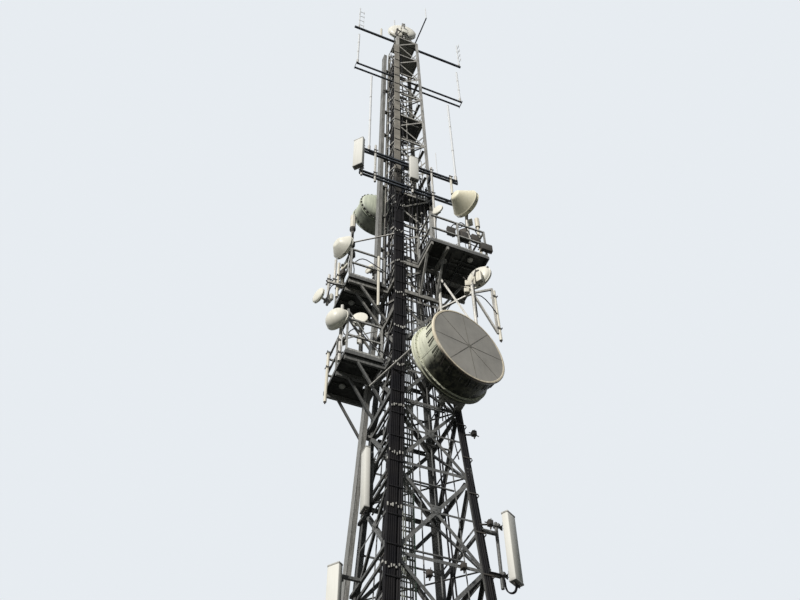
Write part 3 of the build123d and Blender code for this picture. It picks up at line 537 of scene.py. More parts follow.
# A darker copy of the deck plate: painted shade on the rest plates, and painted light on the top one.
finish("rest_plate", (0.045, 0.046, 0.047), (0.07, 0.07, 0.07), soot, (0.34, 0.33, 0.31),
       slot="deck_plate", dirt_amount=0.5, grime=0.3, rough=(0.6, 0.85), gloss=0.15,
       pattern=painted_light_above(29.5, 32.5, (0.42, 0.41, 0.37)))
finish("shaded_steel", (0.075, 0.075, 0.075), (0.12, 0.12, 0.115), (0.03, 0.03, 0.028),
       (0.36, 0.35, 0.33), slot="galvanised_steel", dirt_amount=0.7, edge_amount=0.4, metallic=0.1,
       crystals=0.3, rough=(0.55, 0.8), pattern=painted_light_above(17.0, 21.0, (0.50, 0.49, 0.46)))
finish("bolt_dark", (0.040, 0.039, 0.037), (0.075, 0.070, 0.063), (0.095, 0.062, 0.045),
       (0.24, 0.23, 0.22), slot="galvanised_steel", dirt_amount=0.35, edge_amount=0.5,
       rough=(0.5, 0.75), gloss=0.2)
print("steel finishes", len(finishes))

# %% [markdown]
# ### Cables
# Cable jackets are black plastic with hardly any shine. Those of the feeders are painted grey with
# height as painted light, as the steel is, and the old cables on the inner ladder are grey all over.

# %% Cable finishes
jacket = (0.007, 0.007, 0.009), (0.014, 0.013, 0.014), (0.04, 0.037, 0.034), (0.03, 0.03, 0.03)

finish("cable_jacket", *jacket, dirt_amount=0.2, edge_amount=0.2, rough=(0.5, 0.8),
       streak_width=60.0, gloss=0.12)
finish("feeder_jacket", *jacket, slot="cable_jacket", dirt_amount=0.1, edge_amount=0.2,
       rough=(0.5, 0.8), streak_width=60.0, gloss=0.04,
       pattern=painted_light_above(22.5, 25.5, (0.36, 0.34, 0.30)))
finish("cable_grey", (0.34, 0.36, 0.32), (0.44, 0.455, 0.41), (0.12, 0.12, 0.10), (0.5, 0.5, 0.47),
       slot="cable_jacket", dirt_amount=0.6, rough=(0.5, 0.7), gloss=0.25)
finish("earth_wire", (0.10, 0.33, 0.20), (0.16, 0.40, 0.22), (0.06, 0.12, 0.08), (0.4, 0.5, 0.3),
       slot="cable_jacket", dirt_amount=0.4, rough=(0.45, 0.65), gloss=0.25)
print("finishes so far", len(finishes))

# %% [markdown]
# ### Shells
# The drums, dishes, panels and whips are pale shells, and each kind has yellowed or greened in its
# own way. Their whites stay below full brightness, because in the sun they would lose their shape.

# %% Shell finishes
# The drum's shell and rim carry painted shade on their low right side, with algae specks.
finish("drum_shell", (0.66, 0.68, 0.55), (0.74, 0.75, 0.62), (0.26, 0.255, 0.19), (0.86, 0.84, 0.72),
       dirt_amount=0.4, grime=0.2, gloss=0.08, pattern=painted_shade_and_algae, edge_amount=0.4,
       rough=(0.5, 0.7), streak_width=11.0, cloud_size=3.0, grain_size=150.0, edge_radius=0.012)
# The rim is painted a paler cream than the shell: a painted highlight round the drum's front edge.
finish("drum_rim", (0.78, 0.70, 0.53), (0.84, 0.77, 0.62), (0.34, 0.24, 0.15), (0.88, 0.82, 0.70),
       slot="drum_shell", dirt_amount=0.45, grime=0.2, pattern=painted_shade_and_algae, rough=(0.42, 0.62),
       streak_width=30.0)
finish("seam_dark", (0.20, 0.19, 0.165), (0.28, 0.27, 0.24), soot, (0.3, 0.3, 0.27),
       slot="drum_shell", dirt_amount=0.4, edge_amount=0.2, rough=(0.6, 0.8))
finish("green_shell", (0.55, 0.60, 0.48), (0.63, 0.66, 0.54), (0.16, 0.18, 0.14), (0.68, 0.70, 0.62),
       dirt_amount=0.45, edge_amount=0.5, rough=(0.42, 0.62), streak_width=12.0, edge_radius=0.012)
finish("radome_white", (0.78, 0.76, 0.67), (0.80, 0.78, 0.70), (0.40, 0.38, 0.31), (0.80, 0.78, 0.71),
       dirt_amount=0.2, grime=0.12, edge_amount=0.3, rough=(0.32, 0.5), streak_width=14.0,
       cloud_size=4.0)
finish("radome_cream", (0.84, 0.79, 0.60), (0.87, 0.83, 0.66), (0.50, 0.45, 0.28), (0.88, 0.85, 0.72),
       slot="radome_white", dirt_amount=0.15, grime=0.12, edge_amount=0.3, rough=(0.35, 0.5),
       streak_width=14.0, cloud_size=4.0)
finish("panel_white", (0.69, 0.685, 0.64), (0.715, 0.71, 0.67), (0.45, 0.44, 0.39),
       (0.715, 0.71, 0.675), dirt_amount=0.15, grime=0.3, edge_amount=0.3, rough=(0.45, 0.6),
       streak_width=22.0, gloss=0.12)
finish("panel_cap", (0.44, 0.435, 0.405), (0.50, 0.49, 0.46), soot, (0.56, 0.55, 0.52),
       slot="panel_white", dirt_amount=0.4, edge_amount=0.4, rough=(0.4, 0.6))
finish("white_tag", (0.70, 0.70, 0.68), (0.76, 0.76, 0.74), (0.40, 0.39, 0.35), (0.8, 0.8, 0.78),
       slot="panel_white", dirt_amount=0.4, rough=(0.4, 0.6))
finish("whip_white", (0.72, 0.74, 0.76), (0.75, 0.76, 0.77), (0.50, 0.51, 0.51), (0.76, 0.77, 0.77),
       dirt_amount=0.2, grime=0.4, rough=(0.35, 0.5), streak_width=40.0)
finish("omni_white", (0.68, 0.64, 0.54), (0.74, 0.71, 0.62), (0.32, 0.29, 0.22), (0.80, 0.77, 0.69),
       dirt_amount=0.35, rough=(0.35, 0.5), streak_width=40.0)
print("finishes so far", len(finishes))

# %% [markdown]
# The front of the big drum is coated cloth. It has a fine plain weave, from two waves multiplied,
# and a slow change of shade where it is stretched tighter.

# %% Drum cloth
threads_scale = 90.0
stretched_shade = (0.50, 0.48, 0.44)


def membrane_weave(book, color):
    place = book.position()
    waves = []
    for direction in ("X", "Z"):
        wave = book.add("ShaderNodeTexWave", bands_direction=direction)
        book.join(place, wave.inputs["Vector"])
        wave.inputs["Scale"].default_value = threads_scale
        waves.append(wave.outputs["Fac"])
    weave = book.maths("MULTIPLY", *waves)
    shade = book.ramp(book.noise(place, 1.6, 4.0, 0.6), 0.35, 0.7, 0.0, 0.5)
    return book.blend(shade, color, rgba(stretched_shade)), book.maths("MULTIPLY", weave, 0.5)


# The cloth is light grey; its base colour is darkened here, as painted shade on the drum's front.
finish("drum_cloth", (0.29, 0.28, 0.26), (0.335, 0.325, 0.305), (0.44, 0.42, 0.375),
       (0.74, 0.72, 0.68), slot="drum_shell", dirt_amount=0.22, grime=0.3, gloss=0.2,
       edge_amount=0.1, rough=(0.55, 0.75), streak_width=8.0, cloud_size=1.8, grain_size=200.0,
       pattern=membrane_weave)

# %% [markdown]
# ### The floor
# A pale floor this large would throw light up under every platform, where the photograph is almost
# black. So the floor looks pale, but the light that it hands on is that of short grass.

# %% Quiet floor
short_grass = (0.12, 0.13, 0.11)
floor_finish = weathered(
    "pale_floor", (0.74, 0.74, 0.73), (0.77, 0.77, 0.76), (0.68, 0.68, 0.67), (0.75, 0.75, 0.75),
    dirt_amount=0.2, edge_amount=0.0, rough=(0.8, 0.9), bump=0.05, cloud_size=0.3)
ground.data.materials.append(floor_finish)
book = NodeBook(floor_finish.node_tree)
floor_color = book.nodes["Principled BSDF"].inputs["Base Color"]
pale = floor_color.links[0].from_socket
quiet = book.blend(seen_directly(book.nodes, book.links), rgba(short_grass), pale)
book.join(quiet, floor_color)
print("floor", floor_finish.name)

# %% [markdown]
# ### Finishes on the nodes
# The record names a finish for every node. A few nodes show another one in the photograph, so a
# small table gives them theirs, and all others take the finish of the record.

# %% Finishes on the nodes
# The front right leg and the rest plates take darker copies of their finishes: painted shade.
own_finish = {
    "outrigger": "pole_steel", "drum_mount": "pole_steel", "drum_stay": "pole_steel",
    "leg_front_right": "shaded_steel", "feeder_cables": "feeder_jacket", "rest_plates": "rest_plate",
}
for entry in frame["record"]["subparts"]:
    part = node_objects[entry["node"]]
    laid = finishes[own_finish.get(entry["node"], entry["material_slot"])]
    if not part.data.materials:
        part.data.materials.append(laid)
    for index in range(len(part.material_slots)):
        part.material_slots[index].material = laid

# %% [markdown]
# ## Where things are
# The drawing of the tower is centred on its axis, and the packed model has its origin on the front
# left foot. Small functions give any place from the drawing: one moves a point from the axis to the
# foot, one gives the half width of the tapering tower at a height, and one cuts a climb at the two
# heights where the legs change slope.

# %% Places
foot = 1.415
waist, shoulder, lattice_top = 12.7, 18.0, 33.7
face_widths = ((0.0, 2.98), (waist, 1.654), (shoulder, 1.14), (lattice_top, 0.86))


def at(x, y, z):
    return Vector((x + foot, y + foot, z))


def half_width(z):
    for (z0, w0), (z1, w1) in zip(face_widths, face_widths[1:]):
        if z <= z1:
            break
    return (w0 + (w1 - w0) * (z - z0) / (z1 - z0)) / 2


def lengths_between(low, high):
    """Pairs of heights from low to high, cut at the waist and the shoulder."""
    stops = [low] + [z for z in (waist, shoulder) if low < z < high] + [high]
    return zip(stops, stops[1:])


def steps_up(low, high, step):
    """Heights from low to just below high, a step apart."""
    z = low
    while z < high:
        yield z
        z += step


print("half width at the waist", half_width(waist))

# %% [markdown]
# ## Making a piece
# Every added piece is built in one bmesh, with its vertices already in place. The helper turns it
# into an object, gives it its finishes in order, keeps edges sharper than 35 degrees crisp, and
# lets it ride with the tower.

# %% Piece helper
crisp_angle = math.radians(35)


def add_piece(name, bm, slots, replaces=()):
    mesh = bpy.data.meshes.new(name)
    bm.to_mesh(mesh)
    bm.free()
    mesh.polygons.foreach_set("use_smooth", [True] * len(mesh.polygons))
    mesh.set_sharp_from_angle(angle=crisp_angle)
    piece = bpy.data.objects.new(name, mesh)
    bpy.context.scene.collection.objects.link(piece)
    for slot in slots:
        mesh.materials.append(finishes[slot])
    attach(piece, "root")
    if replaces:
        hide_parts(*replaces)
    print(name, len(mesh.polygons), "faces")


# %% [markdown]
# Bars, boxes and bolts make most of a tower's hardware. Each helper adds one to a bmesh with a
# create operator, turned to its direction, and gives its faces a material.

# %% Bars, boxes and bolts


def level_axis(facing):
    """The unit vector of a level direction, given as (x, y)."""
    return Vector((*facing, 0)).normalized()


def paint(found, material):
    for face in {face for vert in found["verts"] for face in vert.link_faces}:
        face.material_index = material


def rod(bm, start, end, radius, sides=8, material=0, end_radius=None):
    """A round bar from point to point; it tapers where an end radius is given."""
    start, end = Vector(start), Vector(end)
    turn = (end - start).to_track_quat("Z", "Y").to_matrix().to_4x4()
    place = Matrix.Translation((start + end) / 2) @ turn
    far = radius if end_radius is None else end_radius
    found = bmesh.ops.create_cone(
        bm, cap_ends=True, segments=sides, radius1=radius, radius2=far, depth=(end - start).length,
        matrix=place)
    paint(found, material)


def post(bm, x, y, low, high, radius, sides=8, material=0, end_radius=None):
    """A round bar that stands upright, between two heights of the drawing."""
    rod(bm, at(x, y, low), at(x, y, high), radius, sides, material, end_radius)


def block(bm, centre, size, facing=(0, -1), material=0, bevel=0.0):
    """A box: size is (across, along the facing, up). A small bevel catches the light."""
    turn = Matrix.Rotation(math.atan2(facing[1], facing[0]) + math.pi / 2, 4, "Z")
    place = Matrix.Translation(centre) @ turn @ Matrix.Diagonal((*size, 1))
    found = bmesh.ops.create_cube(bm, size=1.0, matrix=place)
    paint(found, material)
    if bevel:
        edges = list({edge for vert in found["verts"] for edge in vert.link_edges})
        bmesh.ops.bevel(bm, geom=edges, offset=bevel, segments=2, profile=0.5, affect="EDGES", material=-1)


def hex_bolt(bm, place, outward, size=0.022, material=0):
    """A washer and a hexagon head."""
    outward = Vector(outward).normalized()
    place = Vector(place)
    washer_top = place + outward * size * 0.18
    rod(bm, place, washer_top, size * 0.95, 8, material)
    rod(bm, washer_top, place + outward * size * 0.85, size * 0.62, 6, material)


print("crisp above", round(math.degrees(crisp_angle)), "degrees")

# %% [markdown]
# ## Spun shells
# A dish is a turned shape. Its profile is drawn once in a plane through its axis, as radius and
# distance forward, and bmesh's spin turns it round. Arcs of an ellipse give the radome its crown
# and the bowl its curve, which the flat facets of the frame only sketch.

# %% Spinning
merge_distance = 0.0002


def arc(r0, f0, r1, f1, count, bulge_first=True):
    """Points on a quarter ellipse between two profile points."""
    points = []
    for i in range(count + 1):
        a = math.pi / 2 * i / count
        s, c = (math.sin(a), 1 - math.cos(a)) if bulge_first else (1 - math.cos(a), math.sin(a))
        points.append((r0 + (r1 - r0) * s, f0 + (f1 - f0) * c))
    return points


def flange(radius, forward, depth, ease=0.006):
    """The profile of a flange whose two outer edges are eased."""
    back = forward - depth
    return [(radius - ease, forward), (radius, forward - ease), (radius, back + ease), (radius - ease, back)]


def ridge(radius, forward, depth, rise=0.004):
    """The profile of a narrow ring that is a little higher in its middle."""
    return [(radius - rise, forward), (radius, forward - depth / 2), (radius - rise, forward - depth)]


def spun(bm, place, facing, profile, steps=40, material=0):
    axis = level_axis(facing)
    place = Vector(place)
    verts = [bm.verts.new(place + UP * r + axis * f) for r, f in profile]
    edges = [bm.edges.new(pair) for pair in zip(verts, verts[1:])]
    before = set(bm.faces)
    bmesh.ops.spin(
        bm, geom=verts + edges, cent=place, axis=axis, angle=2 * math.pi, steps=steps,
        use_merge=True, use_duplicate=False)
    around = list({vert for face in bm.faces if face not in before for vert in face.verts})
    bmesh.ops.remove_doubles(bm, verts=around, dist=merge_distance)
    fresh = [face for face in bm.faces if face not in before]
    bmesh.ops.recalc_face_normals(bm, faces=fresh)
    for face in fresh:
        face.material_index = material


def round_the(place, facing, radius, forward, count, start=0.0):
    """Places on a circle round an axis, each with its outward direction."""
    axis = level_axis(facing)
    for i in range(count):
        out = Matrix.Rotation(start + 2 * math.pi * i / count, 3, axis) @ UP
        yield Vector(place) + axis * forward + out * radius, out


def tangent_box(bm, spot, axis, out, size):
    """A box on a spun shell: size is (round the shell, along its axis, outwards)."""
    turn = Matrix((out.cross(axis), axis, out)).transposed().to_4x4()
    place = Matrix.Translation(spot) @ turn @ Matrix.Diagonal((*size, 1))
    bmesh.ops.create_cube(bm, size=1.0, matrix=place)


print("arc", arc(0.0, 0.1, 0.5, 0.0, 2))

# %% [markdown]
# ## The big drum
# The drum is a microwave dish in a deep cylindrical shroud, closed in front by a taut cloth
# membrane. The cloth, the rim and the shell are three stretches of one profile, spun in turn, so
# that each can have its own finish. The shroud is bolted to the dish between two flanges.

# %% Big drum: shell
drum_place = at(0.47, -1.9014, 15.29)
drum_facing = (0.24, -0.971)
drum_axis = level_axis(drum_facing)
bm = bmesh.new()
cloth = [(0.0, -0.010), (0.5, -0.009), (0.86, -0.007), (0.905, -0.006)]
rim = [
    (0.905, -0.006), (0.912, 0.0), (0.945, -0.001), (0.957, -0.010), (0.96, -0.03), (0.957, -0.052),
    (0.945, -0.058), (0.925, -0.06),
]
shroud = [(0.92, -0.07), (0.92, -0.2), (0.92, -0.4), (0.92, -0.598)]
neck = [(0.932, -0.642), (0.932, -0.678)]
flanges = flange(0.98, -0.60, 0.04) + neck + flange(0.98, -0.68, 0.04)
bowl = arc(0.95, -0.722, 0.17, -0.868, 8, bulge_first=False) + [(0.16, -0.879), (0.0, -0.879)]
spun(bm, drum_place, drum_facing, cloth, steps=96, material=1)
spun(bm, drum_place, drum_facing, rim, steps=96, material=2)
spun(bm, drum_place, drum_facing, rim[-1:] + shroud + flanges + bowl, steps=96)
bmesh.ops.remove_doubles(bm, verts=list(bm.verts), dist=merge_distance)
add_piece("big_drum_shell", bm, ["drum_shell", "drum_cloth", "drum_rim"], replaces=["big_drum"])

# %% [markdown]
# The membrane is sewn from eight gores, and its seams show as dark lines. Springs hooked behind the
# rim hold it: each pair is two thin rods that end in a bolt on the shroud.

# %% Big drum: seams and springs
bm = bmesh.new()
for spot, out in round_the(drum_place, drum_facing, 0.47, 0.0, 8, start=math.radians(7)):
    tangent_box(bm, spot - drum_axis * 0.0065, drum_axis, out, (0.011, 0.004, 0.9))
rod(bm, drum_place - drum_axis * 0.012, drum_place - drum_axis * 0.0045, 0.05, 20)
add_piece("big_drum_seams", bm, ["seam_dark"])

spring_pairs = 24
bm = bmesh.new()
for spot, out in round_the(drum_place, drum_facing, 0.93, -0.05, spring_pairs):
    side = out.cross(drum_axis)
    for way in (-1, 1):
        start = spot + side * way * 0.026
        end = start - drum_axis * 0.22 - side * (0.05 - way * 0.014)
        rod(bm, start, end, 0.0075, 6)
        hex_bolt(bm, end - out * 0.012, out, 0.012)
add_piece("big_drum_springs", bm, ["bolt_dark"])

# %% [markdown]
# Both flanges carry a ring of bolts, and four cover plates with two rows of rivets join the sheets
# of the shroud.

# %% Big drum: flange bolts and sheet joints
flange_bolts = 48
bm = bmesh.new()
for forward, outward in ((-0.598, drum_axis), (-0.722, -drum_axis)):
    for spot, out in round_the(drum_place, drum_facing, 0.957, forward, flange_bolts):
        hex_bolt(bm, spot, outward, 0.016)
for spot, out in round_the(drum_place, drum_facing, 0.921, -0.33, 4, start=math.radians(25)):
    side = out.cross(drum_axis)
    tangent_box(bm, spot, drum_axis, out, (0.05, 0.5, 0.006))
    for step in range(-4, 5):
        for way in (-0.015, 0.015):
            hex_bolt(bm, spot + drum_axis * step * 0.055 + side * way + out * 0.002, out, 0.007)
add_piece("big_drum_joints", bm, ["drum_shell"])
print("drum front at", [round(v, 3) for v in drum_place])

# %% [markdown]
# The back of the drum carries eight pressed ribs and a hub ring, which the pipe's bracket grips.

# %% Big drum: ribs and mount
bm = bmesh.new()
for spot, out in round_the(drum_place, drum_facing, 0.52, -0.835, 8, start=math.radians(22.5)):
    inner = spot - out * 0.33 - drum_axis * 0.028
    outer = spot + out * 0.36 + drum_axis * 0.105
    rod(bm, inner, outer, 0.016, 6)
for spot, out in round_the(drum_place - drum_axis * 0.885, drum_facing, 0.125, 0.0, 8):
    hex_bolt(bm, spot, -drum_axis, 0.02)
pipe_x, pipe_y = 0.2332, -0.9432
for z in (15.02, 15.56):
    for way in (-1, 1):
        spot = at(pipe_x + way * 0.075, pipe_y - 0.02, z)
        rod(bm, spot, spot + Vector((0, 0.12, 0)), 0.009, 6)
    block(bm, at(pipe_x, pipe_y + 0.068, z), (0.2, 0.018, 0.06), bevel=0.004)
add_piece("big_drum_mount_details", bm, ["galvanised_steel"])

# %% [markdown]
# ## The drum at the back
# A second, smaller drum looks the other way. From the ground its bowl is nearest, with a ring of
# dark bolts where the bowl meets the shroud.

# %% Back drum
back_place = at(-0.5528, 1.5079, 23.88)
back_facing = (-0.11, 0.99)
back_axis = level_axis(back_facing)
bm = bmesh.new()
front = [
    (0.0, -0.003), (0.4, -0.002), (0.59, 0.0), (0.612, -0.004), (0.62, -0.014), (0.612, -0.024),
    (0.594, -0.03),
]
shroud = [(0.592, -0.05), (0.592, -0.25), (0.592, -0.474)]
neck = [(0.596, -0.506), (0.596, -0.53)]
rings = ridge(0.634, -0.477, 0.026) + neck + ridge(0.634, -0.533, 0.026)
bowl = arc(0.61, -0.561, 0.13, -0.72, 7, bulge_first=False) + [(0.12, -0.729), (0.0, -0.729)]
spun(bm, back_place, back_facing, front + shroud + rings + bowl, steps=72)
add_piece("back_drum_shell", bm, ["green_shell"], replaces=["back_drum"])

bm = bmesh.new()
for spot, out in round_the(back_place, back_facing, 0.606, -0.561, 26):
    hex_bolt(bm, spot, -back_axis, 0.042)
for spot, out in round_the(back_place, back_facing, 0.596, -0.04, 28):
    side = out.cross(back_axis)
    for way in (-1, 1):
        rod(bm, spot, spot - back_axis * 0.09 + side * way * 0.022, 0.005, 5)
for spot, out in round_the(back_place - back_axis * 0.731, back_facing, 0.09, 0.0, 6):
    hex_bolt(bm, spot, -back_axis, 0.018)
add_piece("back_drum_bolts", bm, ["bolt_dark"])

# %% [markdown]
# ## The dishes
# Each smaller dish has a crowned radome in a rolled rim, a short shroud, and a pressed bowl. Its
# profile follows from a few sizes, so all of them are made by the same few lines.

# %% Dish shell
thickest_lip = 0.018


def dish_shell(bm, place, facing, radius, dome, depth, back, hub):
    lip = min(thickest_lip, radius * 0.05)
    inner = radius - lip
    end = -depth - back + 0.003
    crown = arc(0.0, dome - 0.002, inner, 0.0, 8)
    rim = [(radius - lip * 0.2, -lip * 0.25), (radius, -lip), (radius - lip * 0.25, -lip * 1.7)]
    rim += [(inner, -lip * 2)]
    collar = [(inner, -depth + lip), (radius - lip * 0.3, -depth + lip * 0.9)]
    collar += [(radius, -depth + lip * 0.4), (radius, -depth - 0.001), (inner, -depth - 0.003)]
    bowl = arc(radius - lip * 1.5, -depth - 0.004, hub, end, 6, bulge_first=False)
    spun(bm, place, facing, crown + rim + collar + bowl[1:] + [(0.0, end)], steps=48)


print("rolled rims up to", thickest_lip * 1000, "mm thick")

# %% [markdown]
# Behind a dish are clips on its rim, a ring of bolts on its bowl, and two clamps that grip its pole.
# A clamp is two bars, one on each side of the pole, drawn together by two rods.

# %% Dish fittings
clamp_rod = 0.006


def dish_fittings(bm, place, facing, radius, depth, back, hub, pole, pole_radius):
    """Clips on the rim, bolts on the bowl, and the clamp on the pole, where there is one."""
    axis = level_axis(facing)
    clip = (0.022, max(depth * 0.8, 0.03), 0.012)
    for spot, out in round_the(place, facing, radius - 0.009, -depth * 0.5, 8, start=0.2):
        tangent_box(bm, spot, axis, out, clip)
    for spot, out in round_the(place, facing, hub * 0.8, -depth - back + 0.003, 6):
        hex_bolt(bm, spot, -axis, 0.014)
    if pole is None:
        return
    side = axis.cross(UP)
    for rise in (-hub * 0.75, hub * 0.75):
        centre = at(*pole, place.z + rise)
        block(bm, centre + axis * (pole_radius + 0.02), (0.13, 0.03, 0.05), facing, bevel=0.003)
        block(bm, centre - axis * (pole_radius + 0.012), (0.13, 0.02, 0.05), facing, bevel=0.003)
        for way in (-1, 1):
            spot = centre + side * way * (pole_radius + 0.012)
            rod(bm, spot - axis * (pole_radius + 0.04), spot + axis * (pole_radius + 0.05), clamp_rod, 6)


print("clamp rods", clamp_rod * 2000, "mm thick")

# %% [markdown]
# One table gives each dish its place, facing and sizes: radius, crown, depth of the shroud, depth of
# the bowl, radius of the hub, and the pole with its radius. A dish that is carried by an arm has no
# pole.

# %% Dishes


def add_dish(shells, fittings, place, facing, radius, dome, depth, back, hub, pole, pole_radius):
    dish_shell(shells, place, facing, radius, dome, depth, back, hub)
    dish_fittings(fittings, place, facing, radius, depth, back, hub, pole, pole_radius)


dishes = {
    "left_shroud_dish": (
        at(-1.8807, -0.0868, 17.08), (-0.8, -0.6), 0.3, 0.23, 0.04, 0.04, 0.08, (-1.7383, 0.02), 0.038),
    "mast_dish": (
        at(-0.033, -0.0018, 35.141), (0.2, 0.98), 0.55, 0.06, 0.1, 0.13, 0.11, (-0.1, -0.33), 0.045),
    "right_dish": (at(1.3663, -1.1651, 18.85), (0.85, 0.53), 0.35, 0.04, 0.06, 0.11, 0.08, None, 0.0),
}
for name, dish in dishes.items():
    shells, fittings = bmesh.new(), bmesh.new()
    add_dish(shells, fittings, *dish)
    add_piece(name + "_shell", shells, ["radome_white"], replaces=[name])
    add_piece(name + "_fittings", fittings, ["galvanised_steel"])

# %% [markdown]
# Two dishes have another kind of radome: a blunt cone of thin fibreglass, which sheds snow. It is a
# straight line in the profile, with its two corners eased, and both are spun by the same loop.

# %% Cone radomes
cone_facing = (-0.93, -0.37)
cone_radomes = {
    "upper_right_dish": {
        "place": at(1.15, -1.245, 22.02), "finish": "radome_cream", "steps": 56,
        "cone": [(0.0, 0.40), (0.09, 0.399), (0.13, 0.392), (0.15, 0.375), (0.17, 0.345), (0.398, 0.018)],
        "lip": [(0.412, 0.0), (0.422, -0.008), (0.424, -0.02), (0.420, -0.032), (0.410, -0.036)],
        "collar": [(0.410, -0.09), (0.422, -0.094), (0.422, -0.108)],
        "bowl": arc(0.402, -0.112, 0.09, -0.197, 7, bulge_first=False) + [(0.0, -0.197)],
        "fittings": (0.422, 0.11, 0.09, 0.09, (1.28, -1.03), 0.038),
    },
    "left_dome_dish": {
        "place": at(-1.80, 0.165, 20.27), "finish": "radome_white", "steps": 48,
        "cone": [(0.0, 0.21), (0.08, 0.209), (0.12, 0.203), (0.15, 0.19), (0.325, 0.014)],
        "lip": [(0.335, 0.0), (0.342, -0.006), (0.344, -0.014), (0.340, -0.022), (0.332, -0.026)],
        "collar": [(0.332, -0.07), (0.342, -0.074), (0.342, -0.086)],
        "bowl": arc(0.325, -0.09, 0.07, -0.14, 6, bulge_first=False) + [(0.0, -0.14)],
        "fittings": (0.34, 0.086, 0.06, 0.07, (-1.52, 0.245), 0.038),
    },
}
for name, dish in cone_radomes.items():
    bm = bmesh.new()
    profile = dish["cone"] + dish["lip"] + dish["collar"] + dish["bowl"]
    spun(bm, dish["place"], cone_facing, profile, dish["steps"])
    add_piece(name + "_shell", bm, [dish["finish"]], replaces=[name])
    bm = bmesh.new()
    dish_fittings(bm, dish["place"], cone_facing, *dish["fittings"])
    add_piece(name + "_fittings", bm, ["galvanised_steel"])

# %% [markdown]
# The smallest dishes share one node in the CAD, so their shells become one piece and their fittings
# another.

# %% Small dishes
small_dishes = [
    (at(-1.2809, 0.0608, 17.56), (-0.45, -0.89), 0.19, 0.012, 0.12, 0.05, 0.06, (-1.16, 0.3), 0.038),
    (at(-1.0923, 0.0676, 19.57), (-0.92, -0.39), 0.14, 0.02, 0.04, 0.03, 0.04, (-0.945, 0.13), 0.03),
    (at(-2.3127, 0.2014, 18.09), (-0.94, -0.34), 0.205, 0.045, 0.05, 0.04, 0.05, (-2.04, 0.3), 0.03),
    (at(0.4006, -1.0523, 21.55), (-0.85, -0.53), 0.16, 0.02, 0.04, 0.03, 0.04, None, 0.0),
]
shells, fittings = bmesh.new(), bmesh.new()
for dish in small_dishes:
    add_dish(shells, fittings, *dish)
add_piece("small_dish_shells", shells, ["radome_white"], replaces=["small_dishes"])
add_piece("small_dish_fittings", fittings, ["galvanised_steel"])

# %% [markdown]
# The dish on the right shows its back: three struts run from its hub to its rim, and they look dark
# against the bowl. The masthead dish has a bent arm and a pair of stays to the lattice.

# %% Dish struts and stays
bm = bmesh.new()
place, facing = dishes["right_dish"][:2]
hub = place - level_axis(facing) * 0.185
for spot, out in round_the(place, facing, 0.335, -0.075, 3, start=math.radians(60)):
    rod(bm, hub + out * 0.05, spot, 0.014)
    block(bm, spot, (0.05, 0.03, 0.05), facing, bevel=0.004)
block(bm, hub, (0.2, 0.05, 0.2), facing, bevel=0.01)
elbow, arm_end = at(-0.33, -0.28, 34.72), at(0.27, -0.16, 34.74)
rod(bm, at(-0.43, -0.40, 33.70), elbow, 0.030)
rod(bm, elbow, arm_end, 0.024)
rod(bm, elbow, at(-0.34, -0.09, 34.73), 0.018)
rod(bm, arm_end, at(0.29, -0.02, 34.72), 0.018)
block(bm, elbow, (0.07, 0.07, 0.09), bevel=0.006)
for way in (-1, 1):
    rod(bm, at(-0.1 + way * 0.34, -0.36, 33.76), at(-0.1 + way * 0.05, -0.33, 34.75), 0.018)
add_piece("dish_struts", bm, ["bolt_dark"])

# %% [markdown]
# Each dish has a radio near it: a sealed box with cooling fins on its back and two connectors below,
# so that rain runs off them. A box without fins would look unfinished in the closer views.

# %% Radio units
radio_fins = 7


def radio_unit(bm, centre, facing, size=(0.2, 0.08, 0.24)):
    """A sealed radio: its shell has the first finish, its fins and connectors the second."""
    axis = level_axis(facing)
    side = axis.cross(UP)
    width, depth, height = size
    block(bm, centre, size, facing, bevel=0.008)
    for i in range(radio_fins):
        shift = side * (i - (radio_fins - 1) / 2) * width / (radio_fins + 1)
        fin_centre = centre - axis * (depth / 2 + 0.01) + shift
        block(bm, fin_centre, (0.005, 0.022, height * 0.86), facing, material=1)
    for way in (-0.25, 0.25):
        spot = centre + side * width * way - UP * (height / 2)
        rod(bm, spot, spot - UP * 0.035, 0.013, 8, 1)


bm = bmesh.new()
for place, facing, size in (
    ((1.40, -0.93, 21.62), (-0.67, -0.74), (0.2, 0.08, 0.24)),
    ((-1.60, 0.36, 19.86), (-0.97, -0.24), (0.17, 0.07, 0.22)),
    ((-1.64, 0.10, 16.62), (-0.8, -0.6), (0.18, 0.07, 0.22)),
    ((-1.12, 0.41, 17.2), (-0.45, -0.89), (0.18, 0.07, 0.22)),
    ((-1.96, 0.36, 18.32), (-0.94, -0.34), (0.16, 0.07, 0.2)),
    ((0.985, -1.33, 17.98), (0.0, -1.0), (0.18, 0.07, 0.22)),
    ((-0.1, -0.44, 34.35), (0.0, -1.0), (0.22, 0.09, 0.28)),
):
    radio_unit(bm, at(*place), facing, size)
add_piece("radio_units", bm, ["radome_white", "bolt_dark"])

# %% [markdown]
# ## Panel antennas
# A sector panel is a long fibreglass case with rounded corners, a slightly crowned front, and end
# caps. It is a bevelled box, because its corners are all that shows from the ground. Its connectors
# point down, and it hangs on its pole by two brackets.

# %% Panels
panel_standoff = 0.08
panels = {
    "upper_panels": [
        ((-1.725, -0.8253, 23.28), (-0.75, -0.66), 0.30, 0.14, 1.45),
        ((-0.2, -0.8253, 23.40), (0.0, -1.0), 0.26, 0.12, 1.20),
    ],
    "lower_panels": [
        ((-0.9184, 0.03, 12.785), (-1.0, 0.0), 0.27, 0.11, 1.50),
        ((-1.38, 0.35, 10.15), (-0.8, -0.6), 0.26, 0.13, 1.50),
        ((1.36, -0.84, 11.2), (0.5, -0.87), 0.27, 0.15, 1.48),
    ],
}


